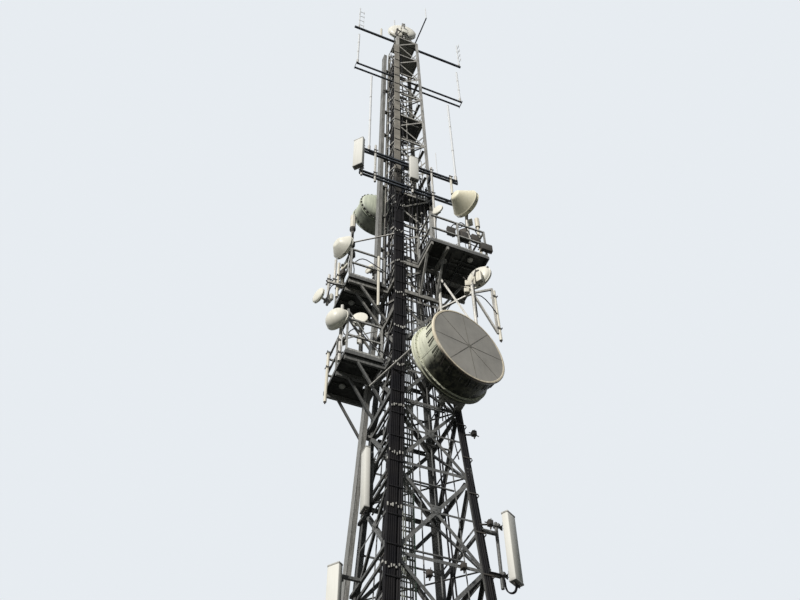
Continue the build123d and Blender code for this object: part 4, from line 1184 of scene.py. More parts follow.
def panel_case(bm, start, facing, width, depth, height):
    """The case and its two end caps, in front of the pole at start."""
    middle = at(*start) + level_axis(facing) * (panel_standoff + depth / 2)
    block(bm, middle, (width, depth, height - 0.06), facing, bevel=min(width, depth) * 0.22)
    for way in (-1, 1):
        cap = middle + UP * (way * (height / 2 - 0.022))
        block(bm, cap, (width, depth, 0.044), facing, material=1, bevel=0.012)


def panel_fittings(bm, start, facing, width, depth, height):
    """Four connectors under the case, and two brackets with their rods and nuts."""
    axis = level_axis(facing)
    side = axis.cross(UP)
    below = at(*start) + axis * (panel_standoff + depth * 0.5) - UP * (height / 2)
    for i in range(4):
        spot = below + side * (i - 1.5) * width * 0.2
        rod(bm, spot + UP * 0.01, spot - UP * 0.045, 0.014, 8, 1)
    for rise in (-height * 0.35, height * 0.35):
        centre = at(*start) + UP * rise
        block(bm, centre + axis * 0.068, (width * 0.6, 0.02, 0.075), facing, bevel=0.004)
        block(bm, centre - axis * 0.042, (0.12, 0.02, 0.06), facing, bevel=0.004)
        for way in (-1, 1):
            spot = centre + side * way * 0.046
            rod(bm, spot - axis * 0.07, spot + axis * 0.07, 0.007, 6)
            hex_bolt(bm, spot - axis * 0.053, -axis, 0.014)


for name, cases in panels.items():
    cases_bm, fittings_bm = bmesh.new(), bmesh.new()
    for case in cases:
        panel_case(cases_bm, *case)
        panel_fittings(fittings_bm, *case)
    add_piece(name + "_cases", cases_bm, ["panel_white", "panel_cap"], replaces=[name])
    add_piece(name + "_fittings", fittings_bm, ["galvanised_steel", "bolt_dark"])

# %% [markdown]
# The panel on the right stands off its pole on two short arms, so that it clears the leg.

# %% Panel arms
bm = bmesh.new()
for z in (10.68, 11.72):
    rod(bm, at(1.24, -0.82, z), at(1.36, -0.84, z), 0.024, 10)
    block(bm, at(1.25, -0.82, z), (0.1, 0.1, 0.05), (1, 0), bevel=0.004)
add_piece("panel_arms", bm, ["galvanised_steel"])

# %% [markdown]
# ## Bolts in the lattice
# A lattice tower is bolted, not welded: each brace ends on a leg's flange under a row of bolts.
# Hundreds of bolts are one mesh here, each only a hexagon on a washer, because from the ground they
# are glints along the legs. Their heights follow from the bays between the waist, the shoulder and
# the top.

# %% Faces and levels of the tower
faces = {"front": (0, -1), "right": (1, 0), "back": (0, 1), "left": (-1, 0)}
corners = [(sx, sy) for sx in (-1, 1) for sy in (-1, 1)]
lower_bays, middle_bays, upper_zigzags = 6, 3, 20


def on_face(face, u, z, outward=0.0):
    """A point on a face: u across it, z up, and a distance outwards from the legs' surface."""
    nx, ny = faces[face]
    reach = half_width(z) + outward
    return at(nx * reach - ny * u, ny * reach + nx * u, z)


def leg_flange(z):
    """The width of a leg's angle at a height."""
    return 0.150 if z < waist else 0.130 if z < shoulder else 0.105


def evenly(low, high, count):
    """The ends of count equal steps from low to high."""
    return [low + (high - low) * i / count for i in range(count + 1)]


def crossings(bay_levels):
    """Each bay's lower level, with the height at which its two braces cross."""
    for z0, z1 in zip(bay_levels, bay_levels[1:]):
        e0, e1 = half_width(z0) - 0.075, half_width(z1) - 0.075
        yield z0, z0 + (z1 - z0) * e0 / (e0 + e1)


brace_joints = [*crossings(evenly(0, waist, lower_bays)), *crossings(evenly(waist, shoulder, middle_bays))]
upper_levels = evenly(shoulder, lattice_top, upper_zigzags)
print("bays with crossed braces", len(brace_joints), "zigzags above", upper_zigzags)

# %% [markdown]
# A wide flange takes three bolts in a slanting row, and the narrow flange of the upper lattice two.
# The level at the ground has none, because the base plate is there.

# %% Brace bolts
slanting_row = ((-0.022, -0.06), (0.022, 0.0), (-0.022, 0.06))
bm = bmesh.new()
for face, (nx, ny) in faces.items():
    out = (nx, ny, 0)
    for side in (-1, 1):
        for level in [z for joint in brace_joints for z in joint if z > 0.1]:
            for du, dz in slanting_row:
                u = side * (half_width(level) - leg_flange(level) * 0.5 + du)
                hex_bolt(bm, on_face(face, u, level + dz), out, 0.02)
        for level in upper_levels[:-1]:
            for dz in (-0.03, 0.035):
                u = side * (half_width(level) - 0.052)
                hex_bolt(bm, on_face(face, u, level + dz), out, 0.016)
add_piece("brace_bolts", bm, ["galvanised_steel"])

# %% [markdown]
# Where two braces cross there is a small square plate between them, with a bolt in its middle and
# one near each corner.

# %% Crossing plates
plate_bolts = ((-0.06, -0.06), (0.06, -0.06), (0.0, 0.0), (-0.06, 0.06), (0.06, 0.06))
bm = bmesh.new()
for face, (nx, ny) in faces.items():
    for joint in brace_joints:
        crossing = joint[1]
        block(bm, on_face(face, 0.0, crossing, -0.010), (0.19, 0.008, 0.19), (nx, ny), bevel=0.002)
        for du, dz in plate_bolts:
            hex_bolt(bm, on_face(face, du, crossing + dz, -0.006), (nx, ny, 0), 0.017)
add_piece("crossing_plates", bm, ["galvanised_steel"])

# %% [markdown]
# The legs come in three lengths. Each joint has a cover plate on both flanges, with two rows of six
# bolts.

# %% Leg splices
splice_thick, splice_tall = 0.012, 0.52
splice_rows, row_step = 6, 0.085
bm = bmesh.new()
for joint in (waist, shoulder):
    width = leg_flange(joint + 0.1) - 0.012
    corner = half_width(joint)
    for sx, sy in corners:
        for facing, centre in (
            ((0, sy), at(sx * (corner - width / 2), sy * (corner + 0.005), joint)),
            ((sx, 0), at(sx * (corner + 0.005), sy * (corner - width / 2), joint)),
        ):
            block(bm, centre, (width, splice_thick, splice_tall), facing, bevel=0.002)
            outward = Vector((*facing, 0))
            across = Vector((-facing[1], facing[0], 0))
            for row in range(splice_rows):
                rise = UP * ((row - (splice_rows - 1) / 2) * row_step)
                for way in (-1, 1):
                    spot = centre + across * way * width * 0.24 + outward * splice_thick / 2 + rise
                    hex_bolt(bm, spot, outward, 0.02)
add_piece("leg_splices", bm, ["galvanised_steel"])

# %% [markdown]
# A leg stands on its base plate. Each of its four anchors has a washer, a nut and a lock nut, which
# are three short bars of one axis here.

# %% Anchor nuts
plate_top = 0.0255
washer, nut, lock_nut = (0.0, 0.005, 0.034, 12), (0.005, 0.029, 0.025, 6), (0.031, 0.047, 0.024, 6)
bm = bmesh.new()
for sx, sy in corners:
    for dx in (-0.15, 0.15):
        for dy in (-0.15, 0.15):
            x, y = sx * foot + dx, sy * foot + dy
            for low, high, radius, sides in (washer, nut, lock_nut):
                post(bm, x, y, plate_top + low, plate_top + high, radius, sides)
add_piece("anchor_nuts", bm, ["galvanised_steel"])

# %% [markdown]
# ## The feeders
# Coaxial feeders run from the ground up one corner, side by side. Five more cables were added later
# beside and over the first ones. They follow the leg, so they bend a little at the waist and at the
# shoulder. A straight bar in each length, a little longer than the length, closes those bends.

# %% Later cables
length_overlap = 0.004
later_row, outer_row = 0.0193, 0.0540


def beside_leg(across, outward, z):
    """A point near the front left leg: across from its corner to the right, and in front of it."""
    reach = half_width(z)
    return at(-reach + across, -reach - outward, z)


def run_up(bm, place_at, low, high, radius, sides=8):
    """One straight bar in each length of the tower; place_at gives its place at a height."""
    for z0, z1 in lengths_between(low, high):
        rod(bm, place_at(z0), place_at(z1 + length_overlap), radius, sides)


bm = bmesh.new()
for across, outward, head in (
    (0.119, later_row, 24.4), (0.157, later_row, 23.4), (0.195, later_row, 19.6),
    (0.138, outer_row, 22.4), (0.176, outer_row, 17.6),
):
    run_up(bm, lambda z: beside_leg(across, outward, z), 0.62, head, 0.0175, 10)
add_piece("later_cables", bm, ["cable_jacket"])

# %% [markdown]
# A clamp bar holds the feeders every 650 mm, so they look like a black ladder. The bars grow
# shorter and lie closer to the leg where there are fewer cables under them.

# %% Feeder clamps
front_row_head = 23.98
clamp_step = 0.65
clamp_heights = list(steps_up(0.9, 32.6, clamp_step))


def clamp_reach(z):
    """How far a bar goes to the right of the corner: past the last cable at its height."""
    return 0.215 if z < 19.5 else 0.18 if z < 23.3 else 0.1


bm = bmesh.new()
for z in clamp_heights:
    outward, bolt_reach = (0.0845, 0.08) if z < front_row_head else (0.046, 0.04)
    reach = clamp_reach(z)
    centre = (beside_leg(-0.1, outward, z) + beside_leg(reach, outward, z)) / 2
    block(bm, centre, (0.1 + reach, 0.010, 0.028), bevel=0.002)
    for across in (-0.088, 0.0, 0.098):
        spot = beside_leg(across, outward + 0.004, z)
        rod(bm, spot + Vector((0, bolt_reach, 0)), spot - Vector((0, 0.012, 0)), 0.006, 6)
add_piece("feeder_clamps", bm, ["cable_jacket"])
print(len(clamp_heights), "clamp bars")

# %% [markdown]
# ## Clamps on the poles
# Poles and whips are held to booms and rails by U-bolts: two threaded rods that pass the pole, a
# saddle plate behind, and nuts outside. A table gives each pole's place, its radius, the direction
# to what holds it, and the heights of its clamps.

# %% Pole clamps
to_right, to_back = (1, 0), (0, 1)
boom_clamps = (23.755, 23.905, 22.525, 22.675)
pole_clamps = [
    *[(x, -0.8253, 0.03, to_back, boom_clamps) for x in (-1.705, -1.31, -0.2, 0.42)],
    (1.03, -0.8283, 0.033, to_back, (23.755, 23.905)),
    (-1.7333, 0.9, 0.033, to_right, (16.5, 17.0)),
    (-1.6643, 0.8, 0.033, to_right, (19.38, 19.86)),
    (-1.6643, 0.48, 0.033, to_right, (19.38, 19.86)),
    (1.5713, -1.4, 0.033, (-1, 0), (16.8, 17.95)),
    (1.4557, -1.25, 0.033, to_right, (20.05, 20.58)),
    (-1.7383, 0.02, 0.038, to_right, (16.1, 16.5, 17.05)),
    (-2.04, 0.3, 0.03, to_back, (18.78, 18.92)),
    (-1.9, 0.3, 0.03, to_back, (18.98,)),
    (-0.1, -0.33, 0.045, to_back, (33.85, 34.05)),
    (pipe_x, pipe_y, 0.057, to_back, (14.62, 15.92)),
]


def pole_clamp(bm, x, y, z, radius, toward):
    centre, back = at(x, y, z), Vector((*toward, 0))
    across = Vector((-toward[1], toward[0], 0))
    for way in (-1, 1):
        side = centre + across * way * (radius + 0.010)
        rod(bm, side - back * (radius + 0.016), side + back * (radius + 0.055), 0.007, 6)
        hex_bolt(bm, side - back * (radius + 0.012), -back, 0.013)
    width = radius * 2 + 0.07
    block(bm, centre - back * (radius + 0.006), (width, 0.010, 0.034), toward, bevel=0.002)
    block(bm, centre + back * (radius + 0.010), (width, 0.012, 0.044), toward, bevel=0.002)


bm = bmesh.new()
for x, y, radius, toward, heights in pole_clamps:
    for z in heights:
        pole_clamp(bm, x, y, z, radius, toward)
add_piece("pole_clamps", bm, ["bolt_dark"])

# %% [markdown]
# ## Whip aerials
# A whip stands in a base sleeve and is built of tubes that step down in size at each ferrule. Each
# is a straight CAD bar, so the sleeve, the ferrules and the cap are thin bars slipped over it. The
# whip on the mast has a sleeve over its whole length, because it shows much thicker.

# %% Whip fittings
sleeve_tall, cone_tall, ferrule_tall = 0.22, 0.04, 0.05
whips = [
    (-1.49, -0.77, 23.93, 28.71, 0.031), (1.23, -0.77, 23.93, 28.63, 0.031),
    (-1.82, -0.2, 30.645, 33.075, 0.03), (2.09, -0.2, 30.645, 32.995, 0.03),
    (-1.83, -0.15, 33.811, 35.711, 0.02), (2.285, -0.15, 33.811, 35.741, 0.02),
    (-0.94, -0.15, 33.811, 34.511, 0.028), (-0.23, 0.25, 33.741, 36.90, 0.02),
]
bm = bmesh.new()
for x, y, z0, z1, radius in whips:
    low = z0 - 0.02
    cone_foot = low + sleeve_tall
    post(bm, x, y, low, cone_foot, radius + 0.012, 12, 1)
    post(bm, x, y, cone_foot, cone_foot + cone_tall, radius + 0.012, 12, 1, end_radius=radius + 0.001)
    for share in (0.36, 0.68):
        z = z0 + (z1 - z0) * share
        post(bm, x, y, z, z + ferrule_tall, radius + 0.005, 12, 1)
    post(bm, x, y, z1 - 0.05, z1 - 0.001, radius + 0.002, 12, 1)
mast_whip_x, mast_whip_y = whips[-1][:2]
post(bm, mast_whip_x, mast_whip_y, 34.0, 36.93, 0.028, 12)
add_piece("whip_fittings", bm, ["whip_white", "pole_steel"])

# %% [markdown]
# An omni aerial is a short fat tube with a collar at each end and a stub below. One at the left is
# a stout cylinder, on a tapered base with three cable glands.

# %% Omni fittings
omnis = [
    (1.03, -0.8283, 23.0, 23.95), (-0.9, -0.1333, 17.95, 19.9), (-1.7333, 0.9, 15.4, 17.0),
    (-1.6643, 0.8, 19.0, 20.4), (-1.6643, 0.48, 19.0, 19.95), (1.5713, -1.4, 16.42, 18.18),
]
bm = bmesh.new()
for x, y, z0, z1 in omnis:
    post(bm, x, y, z0 - 0.001, z0 + 0.09, 0.037, 14)
    post(bm, x, y, z1 - 0.05, z1 - 0.001, 0.037, 14)
    post(bm, x, y, z0 - 0.05, z0, 0.016, 8, 1)
post(bm, -0.94, -0.15, 33.86, 34.46, 0.042, 14)
stout_x, stout_y = -1.52, 0.245
post(bm, stout_x, stout_y, 21.28, 21.36, 0.082, 24, 1)
post(bm, stout_x, stout_y, 21.20, 21.28, 0.050, 16, 1, end_radius=0.082)
for dx, dy in ((-0.03, -0.03), (0.03, -0.02), (0.0, 0.035)):
    post(bm, stout_x + dx, stout_y + dy, 21.12, 21.28, 0.010, 8, 1)
post(bm, stout_x, stout_y, 21.915, 21.919, 0.062, 24)
add_piece("omni_fittings", bm, ["omni_white", "bolt_dark"])

# %% [markdown]
# At every second clamp the feeders carry pale hangers and tags, which catch the light in a cluster.
# Their places vary a little, as hands have left them; the numbers are seeded, so they stay the same.

# %% Hangers and tags
chance = random.Random(11)
bm = bmesh.new()
for z in steps_up(1.1, 23.0, 2 * clamp_step):
    for i in range(6):
        across = -0.09 + i * 0.05 + chance.uniform(-0.01, 0.01)
        spot = beside_leg(across, 0.089, z + chance.uniform(-0.05, 0.05))
        width, height = chance.uniform(0.015, 0.03), chance.uniform(0.03, 0.09)
        block(bm, spot, (width, 0.014, height), bevel=0.003)
    for i in range(3):
        side_z = z + chance.uniform(-0.06, 0.06)
        spot = at(-half_width(z) - 0.018, -half_width(z) + 0.05 + i * 0.05, side_z)
        block(bm, spot, (0.018, 0.02, 0.05), (-1, 0), bevel=0.003)
add_piece("cable_hangers", bm, ["panel_cap"])

# %% [markdown]
# Both front corners carry more cables, clamped on the flat sides of their legs. Each offset is from
# the corner of the leg, so the bundle leans in with the tower.

# %% Cables on the front corners
left_offsets = ((0.02, 0.045), (0.02, 0.085), (0.02, 0.125), (0.055, 0.065))
right_offsets = (
    (-0.03, -0.02), (-0.07, -0.02), (-0.11, -0.02), (0.02, 0.03), (0.02, 0.07), (0.05, 0.05))
bm = bmesh.new()
for sx, offsets, low, high in ((-1, left_offsets, 0.7, 21.5), (1, right_offsets, 0.7, 16.9)):
    for dx, dy in offsets:
        run_up(bm, lambda z: at(sx * (half_width(z) + dx), -half_width(z) + dy, z), low, high, 0.0165)
add_piece("corner_cables", bm, ["cable_jacket"])

bm = bmesh.new()
for z in steps_up(1.5, 16.8, 0.9):
    hw = half_width(z)
    block(bm, at(hw - 0.05, -hw - 0.042, z), (0.20, 0.012, 0.03), bevel=0.002)
    block(bm, at(hw + 0.072, -hw + 0.05, z), (0.14, 0.012, 0.03), (1, 0), bevel=0.002)
    block(bm, at(-hw - 0.078, -hw + 0.08, z), (0.16, 0.012, 0.03), (-1, 0), bevel=0.002)
add_piece("corner_clamps", bm, ["bolt_dark"])

# %% [markdown]
# The two whips on the top boom are dipole arrays: four short dipoles stand off the mast in a column,
# sideways from the left mast and forwards from the right one.

# %% Dipoles
dipole_step, dipole_reach = 0.42, 0.13
bm = bmesh.new()
for x, arm in ((-1.83, Vector((0.17, 0, 0))), (2.285, Vector((0, -0.17, 0)))):
    for i in range(4):
        mast = at(x, -0.15, 34.12 + i * dipole_step)
        middle = mast + arm
        rod(bm, mast, middle, 0.009, 6)
        rod(bm, middle - UP * dipole_reach, middle + UP * dipole_reach, 0.011)
        rod(bm, middle - UP * 0.02, middle + UP * 0.02, 0.02)
add_piece("dipoles", bm, ["whip_white"])

# %% [markdown]
# The rest plates in the shaft have an angle frame, whose edges show as pale lines against the plate.

# %% Rest frames
bm = bmesh.new()
for z in (22.71, 27.42, 32.13, lattice_top):
    hw = half_width(z)
    for nx, ny in faces.values():
        centre = at(nx * (hw - 0.04), ny * (hw - 0.04), z + 0.061)
        block(bm, centre, ((hw - 0.06) * 2, 0.006, 0.05), (nx, ny), bevel=0.001)
add_piece("rest_frames", bm, ["rail_steel"])

# %% [markdown]
# ## Cables on the structure
# Jumper cables leave the feeders, run along the booms and rails to which they are strapped, and end
# at the aerials. A curve with a round bevel is the natural tool for a cable: one object holds many
# splines, and each spline is a few points. NURBS splines keep the bends soft.

# %% Strapped cables on the booms


def strapped(name, routes, radius, slot="cable_jacket"):
    """routes are lists of points in drawing metres; each becomes one smooth cable."""
    curve = bpy.data.curves.new(name, "CURVE")
    curve.dimensions = "3D"
    curve.bevel_depth = radius
    curve.bevel_resolution = 1
    curve.resolution_u = 3
    curve.use_fill_caps = True
    for route in routes:
        spline = curve.splines.new("NURBS")
        spline.points.add(len(route) - 1)
        for point, place in zip(spline.points, route):
            point.co = (*at(*place), 1)
        spline.order_u = 3
        spline.use_endpoint_u = True
    piece = bpy.data.objects.new(name, curve)
    bpy.context.scene.collection.objects.link(piece)
    curve.materials.append(finishes[slot])
    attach(piece, "root")
    print(name, len(routes), "cables")


boom_runs = [
    [(-0.62, -0.60, 21.9), (-0.64, -0.70, 22.35), (-0.70, -0.76, 22.50), (-1.2, -0.77, 22.50),
     (-1.62, -0.78, 22.5), (-1.72, -0.86, 22.42), (-1.78, -0.90, 22.50)],
    [(-0.60, -0.60, 21.7), (-0.58, -0.72, 22.3), (-0.40, -0.79, 22.49), (-0.24, -0.86, 22.52),
     (-0.2, -0.93, 22.75)],
    [(-0.60, -0.60, 21.5), (-0.5, -0.72, 22.4), (0.1, -0.79, 22.49), (0.7, -0.79, 22.49),
     (1.0, -0.8, 22.6), (1.03, -0.82, 22.95)],
    [(-0.55, -0.58, 23.4), (-0.55, -0.72, 23.7), (-0.9, -0.80, 23.72), (-1.36, -0.80, 23.72),
     (-1.49, -0.79, 23.82)],
    [(-0.55, -0.58, 23.3), (-0.5, -0.72, 23.7), (0.2, -0.80, 23.72), (0.9, -0.80, 23.72),
     (1.2, -0.79, 23.78), (1.23, -0.78, 23.9)],
    [(-0.42, -0.44, 30.2), (-0.5, -0.26, 30.5), (-1.1, -0.23, 30.55), (-1.7, -0.22, 30.55),
     (-1.82, -0.2, 30.62)],
    [(-0.42, -0.44, 30.0), (-0.3, -0.24, 30.5), (0.8, -0.23, 30.55), (1.9, -0.22, 30.55),
     (2.09, -0.2, 30.6)],
    [(-0.4, -0.42, 33.2), (-0.42, -0.2, 33.68), (-1.0, -0.17, 33.72), (-1.7, -0.16, 33.72),
     (-1.83, -0.15, 33.78)],
    [(-0.4, -0.42, 33.1), (0.2, -0.2, 33.68), (1.2, -0.17, 33.72), (2.1, -0.16, 33.72),
     (2.285, -0.15, 33.78)],
    [(-0.16, -0.38, 33.8), (-0.16, -0.38, 34.4), (-0.14, -0.30, 34.8), (-0.10, -0.2, 34.95)],
]
strapped("boom_cables", boom_runs, 0.014)

# %% [markdown]
# On the platforms the cables go along the rails and up the poles to the dishes and radios, with a
# wave where they have been gathered and tied. A few of the newest ones are white.

# %% Platform cables
platform_runs = [
    [(0.55, -0.60, 18.6), (0.62, -0.80, 19.2), (0.62, -1.36, 19.62), (0.9, -1.37, 19.95),
     (1.25, -1.36, 19.9), (1.44, -1.3, 20.0), (1.46, -1.26, 20.4)],
    [(0.6, -0.62, 18.4), (0.9, -0.9, 19.36), (1.2, -1.0, 19.7), (1.26, -1.03, 20.4),
     (1.27, -1.05, 21.3), (1.3, -1.08, 21.75)],
    [(0.5, -1.34, 20.1), (0.66, -1.36, 20.7), (0.85, -1.36, 20.45), (0.98, -1.36, 20.75),
     (1.12, -1.36, 20.4), (1.2, -1.36, 20.05)],
    [(0.62, -1.34, 20.0), (0.75, -1.36, 20.5), (0.9, -1.36, 20.85), (1.1, -1.36, 20.6),
     (1.3, -1.36, 20.75), (1.42, -1.36, 20.2)],
    [(0.4006, -0.9, 19.6), (0.41, -0.86, 20.4), (0.42, -0.86, 21.2), (0.44, -0.95, 21.48),
     (0.45, -1.0, 21.54)],
    [(1.04, -1.40, 17.0), (1.03, -1.42, 17.6), (1.02, -1.42, 18.1), (1.1, -1.36, 18.35),
     (1.25, -1.28, 18.6), (1.3, -1.22, 18.8)],
    [(0.53, -0.70, 17.2), (0.55, -0.74, 17.8), (0.8, -1.1, 17.9), (1.0, -1.42, 17.8),
     (1.3, -1.43, 17.8), (1.55, -1.43, 17.3)],
    [(-0.72, -0.60, 18.6), (-1.0, -0.14, 19.5), (-1.35, -0.08, 19.75), (-1.5, 0.18, 19.65),
     (-1.56, 0.22, 20.0), (-1.58, 0.2, 20.2)],
    [(-1.56, 0.2, 19.1), (-1.62, 0.18, 19.6), (-1.50, 0.17, 19.9), (-1.64, 0.16, 20.15),
     (-1.5, 0.17, 20.35), (-1.56, 0.19, 20.9), (-1.54, 0.22, 21.25)],
    [(-1.46, 0.2, 19.1), (-1.42, 0.16, 19.5), (-1.56, 0.14, 19.85), (-1.44, 0.16, 20.15),
     (-1.57, 0.17, 20.45), (-1.5, 0.2, 21.2)],
    [(-1.64, 0.3, 18.9), (-1.68, 0.2, 18.75), (-1.9, 0.27, 18.8), (-2.02, 0.27, 18.6),
     (-2.06, 0.26, 18.2)],
    [(-0.72, -0.66, 15.6), (-1.1, -0.28, 16.3), (-1.5, -0.24, 16.9), (-1.68, -0.05, 16.5),
     (-1.72, -0.02, 16.9)],
    [(-1.14, 0.26, 16.1), (-1.12, 0.24, 16.8), (-1.18, 0.22, 17.3), (-1.22, 0.18, 17.5)],
    [(-0.95, 0.1, 18.95), (-0.9, 0.08, 19.3), (-0.98, 0.1, 19.5)],
    [(0.26, -0.86, 14.0), (0.27, -0.86, 15.0), (0.3, -0.92, 15.4), (0.34, -1.0, 15.32)],
    [(0.62, -0.74, 13.2), (0.4, -0.86, 14.1), (0.27, -0.87, 14.8), (0.26, -0.95, 15.2)],
]
white_runs = [
    [(1.18, -1.1, 19.6), (1.0, -1.2, 20.2), (1.12, -1.3, 20.7), (1.28, -1.1, 20.9)],
    [(0.7, -1.38, 19.62), (0.8, -1.39, 20.0), (0.72, -1.38, 20.4), (0.84, -1.37, 20.6)],
    [(-1.60, 0.1, 19.0), (-1.66, 0.08, 19.5), (-1.58, 0.1, 19.9), (-1.66, 0.14, 20.1)],
    [(-1.7, -0.1, 16.05), (-1.75, -0.06, 16.4), (-1.7, -0.1, 16.7), (-1.78, -0.06, 16.95)],
]
strapped("platform_cables", platform_runs, 0.013)
strapped("white_jumpers", white_runs, 0.010, "whip_white")

# %% [markdown]
# Each lower panel has two jumpers. They leave its connectors in a short drip loop, so that rain runs
# off at the bottom and not into the plug, and go back to the pole, the bracket and the tower. Each
# route is drawn once, and its pair is set a little to both sides of it.

# %% Panel jumpers
right_tail = [
    (1.437, -0.97, 10.46), (1.43, -0.96, 10.36), (1.38, -0.92, 10.30), (1.31, -0.87, 10.33),
    (1.278, -0.85, 10.44), (1.272, -0.86, 10.58), (1.24, -0.87, 10.66), (1.14, -0.865, 10.67),
    (1.02, -0.865, 10.67), (0.975, -0.90, 10.62), (0.985, -0.93, 10.5), (1.01, -0.955, 10.0),
    (1.035, -0.98, 9.5),
]
left_tail = [
    (-1.053, 0.03, 12.06), (-1.05, 0.03, 11.98), (-1.0, 0.03, 11.94), (-0.955, 0.01, 12.0),
    (-0.945, -0.01, 12.12), (-0.92, -0.02, 12.25), (-0.87, -0.03, 12.28),
]
low_tail = [
    (-1.49, 0.265, 9.42), (-1.485, 0.268, 9.33), (-1.45, 0.29, 9.30), (-1.41, 0.32, 9.36),
    (-1.405, 0.325, 9.5), (-1.38, 0.305, 9.68), (-1.3, 0.31, 9.73), (-1.1, 0.31, 9.73),
    (-1.0, 0.31, 9.73),
]
pair_shift = 0.014
tails = [
    [(x + shift, y + shift * 0.6, z - abs(shift)) for x, y, z in tail]
    for tail in (right_tail, left_tail, low_tail) for shift in (-pair_shift, pair_shift)
]
strapped("panel_jumpers", tails, 0.0125)

# %% [markdown]
# Old cables were left in place when newer ones were strapped over them. They wander between their
# clips, so each keeps to its share of the half width and strays a little at every clip.

# %% Wandering cables
chance = random.Random(5)
clip_step = 0.8
ragged_end = 0.9


def wandering(shares, low, high, stray):
    """Cables that follow the taper at a share of the half width, and stray at each clip."""
    routes = []
    for share_x, share_y in shares:
        start = low + chance.uniform(0.0, ragged_end)
        end = high - chance.uniform(0.0, ragged_end)
        route = []
        for z in steps_up(start, end, clip_step):
            x = share_x * half_width(z) + chance.uniform(-stray, stray)
            y = share_y * half_width(z) + chance.uniform(-stray, stray)
            route.append((x, y, z))
        routes.append(route)
    return routes


upper_shares = [
    (-0.86, -0.72), (-0.9, -0.62), (-0.86, -0.50), (-0.92, -0.38), (-0.87, -0.26), (-0.92, -0.14),
    (-0.88, -0.02), (-0.92, 0.12), (-0.86, 0.24), (-0.91, 0.38), (-0.87, 0.52), (-0.72, -0.88),
    (-0.56, -0.91),
]
middle_shares = [
    (-0.35, -0.93), (-0.12, -0.9), (0.12, -0.94), (0.3, -0.9), (0.48, -0.93), (0.66, -0.9),
    (0.9, -0.7), (0.93, -0.45), (0.9, -0.2), (0.93, 0.1), (-0.92, -0.1), (-0.9, -0.3),
    (-0.93, -0.5), (-0.9, 0.2), (-0.96, -0.66), (-0.94, -0.2), (-0.97, 0.04), (-0.92, 0.34),
    (-0.95, 0.5), (-0.93, 0.68),
]
lower_shares = [
    (-0.96, -0.84), (-0.93, -0.77), (-0.97, -0.70), (-0.92, -0.62), (-0.96, -0.54), (-0.93, -0.46)]
old_runs = wandering(upper_shares, 22.4, 33.2, 0.030)
old_runs += wandering(middle_shares, 15.6, 24.2, 0.045)
old_runs += wandering(lower_shares, 1.6, 16.0, 0.035)
strapped("wandering_cables", old_runs, 0.019)

# %% [markdown]
# About a third of the clips are pale and big enough to show. They are small blocks on the cable, of
# heights that vary.

# %% Clips on the wandering cables
shown_share = 0.3
bm = bmesh.new()
for route in old_runs:
    for place in route[1:-1]:
        if chance.random() < shown_share:
            block(bm, at(*place), (0.05, 0.045, chance.uniform(0.02, 0.05)), (-1, 0), bevel=0.004)
add_piece("wandering_clips", bm, ["panel_cap"])

# %% [markdown]
# Inside the lattice, more cables and thin steel conduits climb beside the ladder. They follow the
# taper as the legs do. Each is at a share of the half width, so it never leaves the tower. Level
# bars from leg to leg, called trapezes, carry them.

# %% Climbing cables and trapezes


def climbing(bm, runs, radius):
    """Straight bars at shares of the half width; a run is (share across, share deep, low, high)."""
    for share_x, share_y, low, high in runs:
        for z0, z1 in lengths_between(low, high):
            start, end = (at(share_x * half_width(z), share_y * half_width(z), z) for z in (z0, z1))
            rod(bm, start, end + UP * length_overlap, radius)


climbers = [
    (0.30, -0.80, 2.0, 20.5), (0.37, -0.80, 2.0, 19.0), (-0.80, -0.30, 1.0, 24.0),
    (-0.80, -0.18, 1.0, 21.0), (-0.80, -0.06, 1.0, 20.0),
]
conduits = [
    (-0.25, -0.82, 3.0, 28.0), (0.62, -0.80, 2.0, 25.0), (-0.82, 0.25, 3.0, 32.0), (0.10, -0.80, 6.0, 22.0)]
bm = bmesh.new()
climbing(bm, climbers, 0.0165)
add_piece("climbing_cables", bm, ["cable_jacket"])

bm = bmesh.new()
climbing(bm, conduits, 0.013)
level = 1.2
close_step, wide_step = 1.05, 1.6
while level < 31.0:
    hw = half_width(level)
    block(bm, at(-0.2 * hw, -0.835 * hw, level), (1.55 * hw, 0.030, 0.028), bevel=0.003)
    block(bm, at(-0.835 * hw, -0.1 * hw, level), (1.5 * hw, 0.030, 0.028), (-1, 0), bevel=0.003)
    level += close_step if level > 12 else wide_step
add_piece("cable_trapezes", bm, ["galvanised_steel"])

# %% [markdown]
# ## Radios and lamps
# Small dark housings sit near the aerials: remote radios, filters and splitters. They are the same
# finned box as the dishes' radios, in dark paint.

# %% Radios on the rails
bm = bmesh.new()
for place, facing, size in (
    ((0.60, -1.33, 20.25), (0, -1), (0.22, 0.09, 0.30)),
    ((0.95, -1.33, 20.18), (0, -1), (0.26, 0.10, 0.36)),
    ((1.28, -1.33, 20.28), (0, -1), (0.20, 0.09, 0.28)),
    ((1.49, -1.475, 19.80), (0, -1), (0.30, 0.10, 0.26)),
    ((1.16, -0.98, 20.95), (-0.67, -0.74), (0.20, 0.09, 0.30)),
    ((-1.56, 0.12, 20.40), (-0.97, -0.24), (0.16, 0.08, 0.2)),
    ((-1.53, 0.17, 20.02), (-0.9, -0.4), (0.18, 0.08, 0.2)),
    ((-1.70, 0.33, 19.42), (-0.9, -0.4), (0.14, 0.08, 0.2)),
    ((-1.38, 0.19, 16.32), (0, -1), (0.24, 0.10, 0.3)),
    ((0.50, -0.53, 22.95), (0, -1), (0.2, 0.08, 0.26)),
):
    radio_unit(bm, at(*place), facing, size)
add_piece("dark_radios", bm, ["bolt_dark", "bolt_dark"])

# %% [markdown]
# The right dish has a larger, pale radio behind it, made of four boxes with rounded edges, and dark
# stays from its pole.

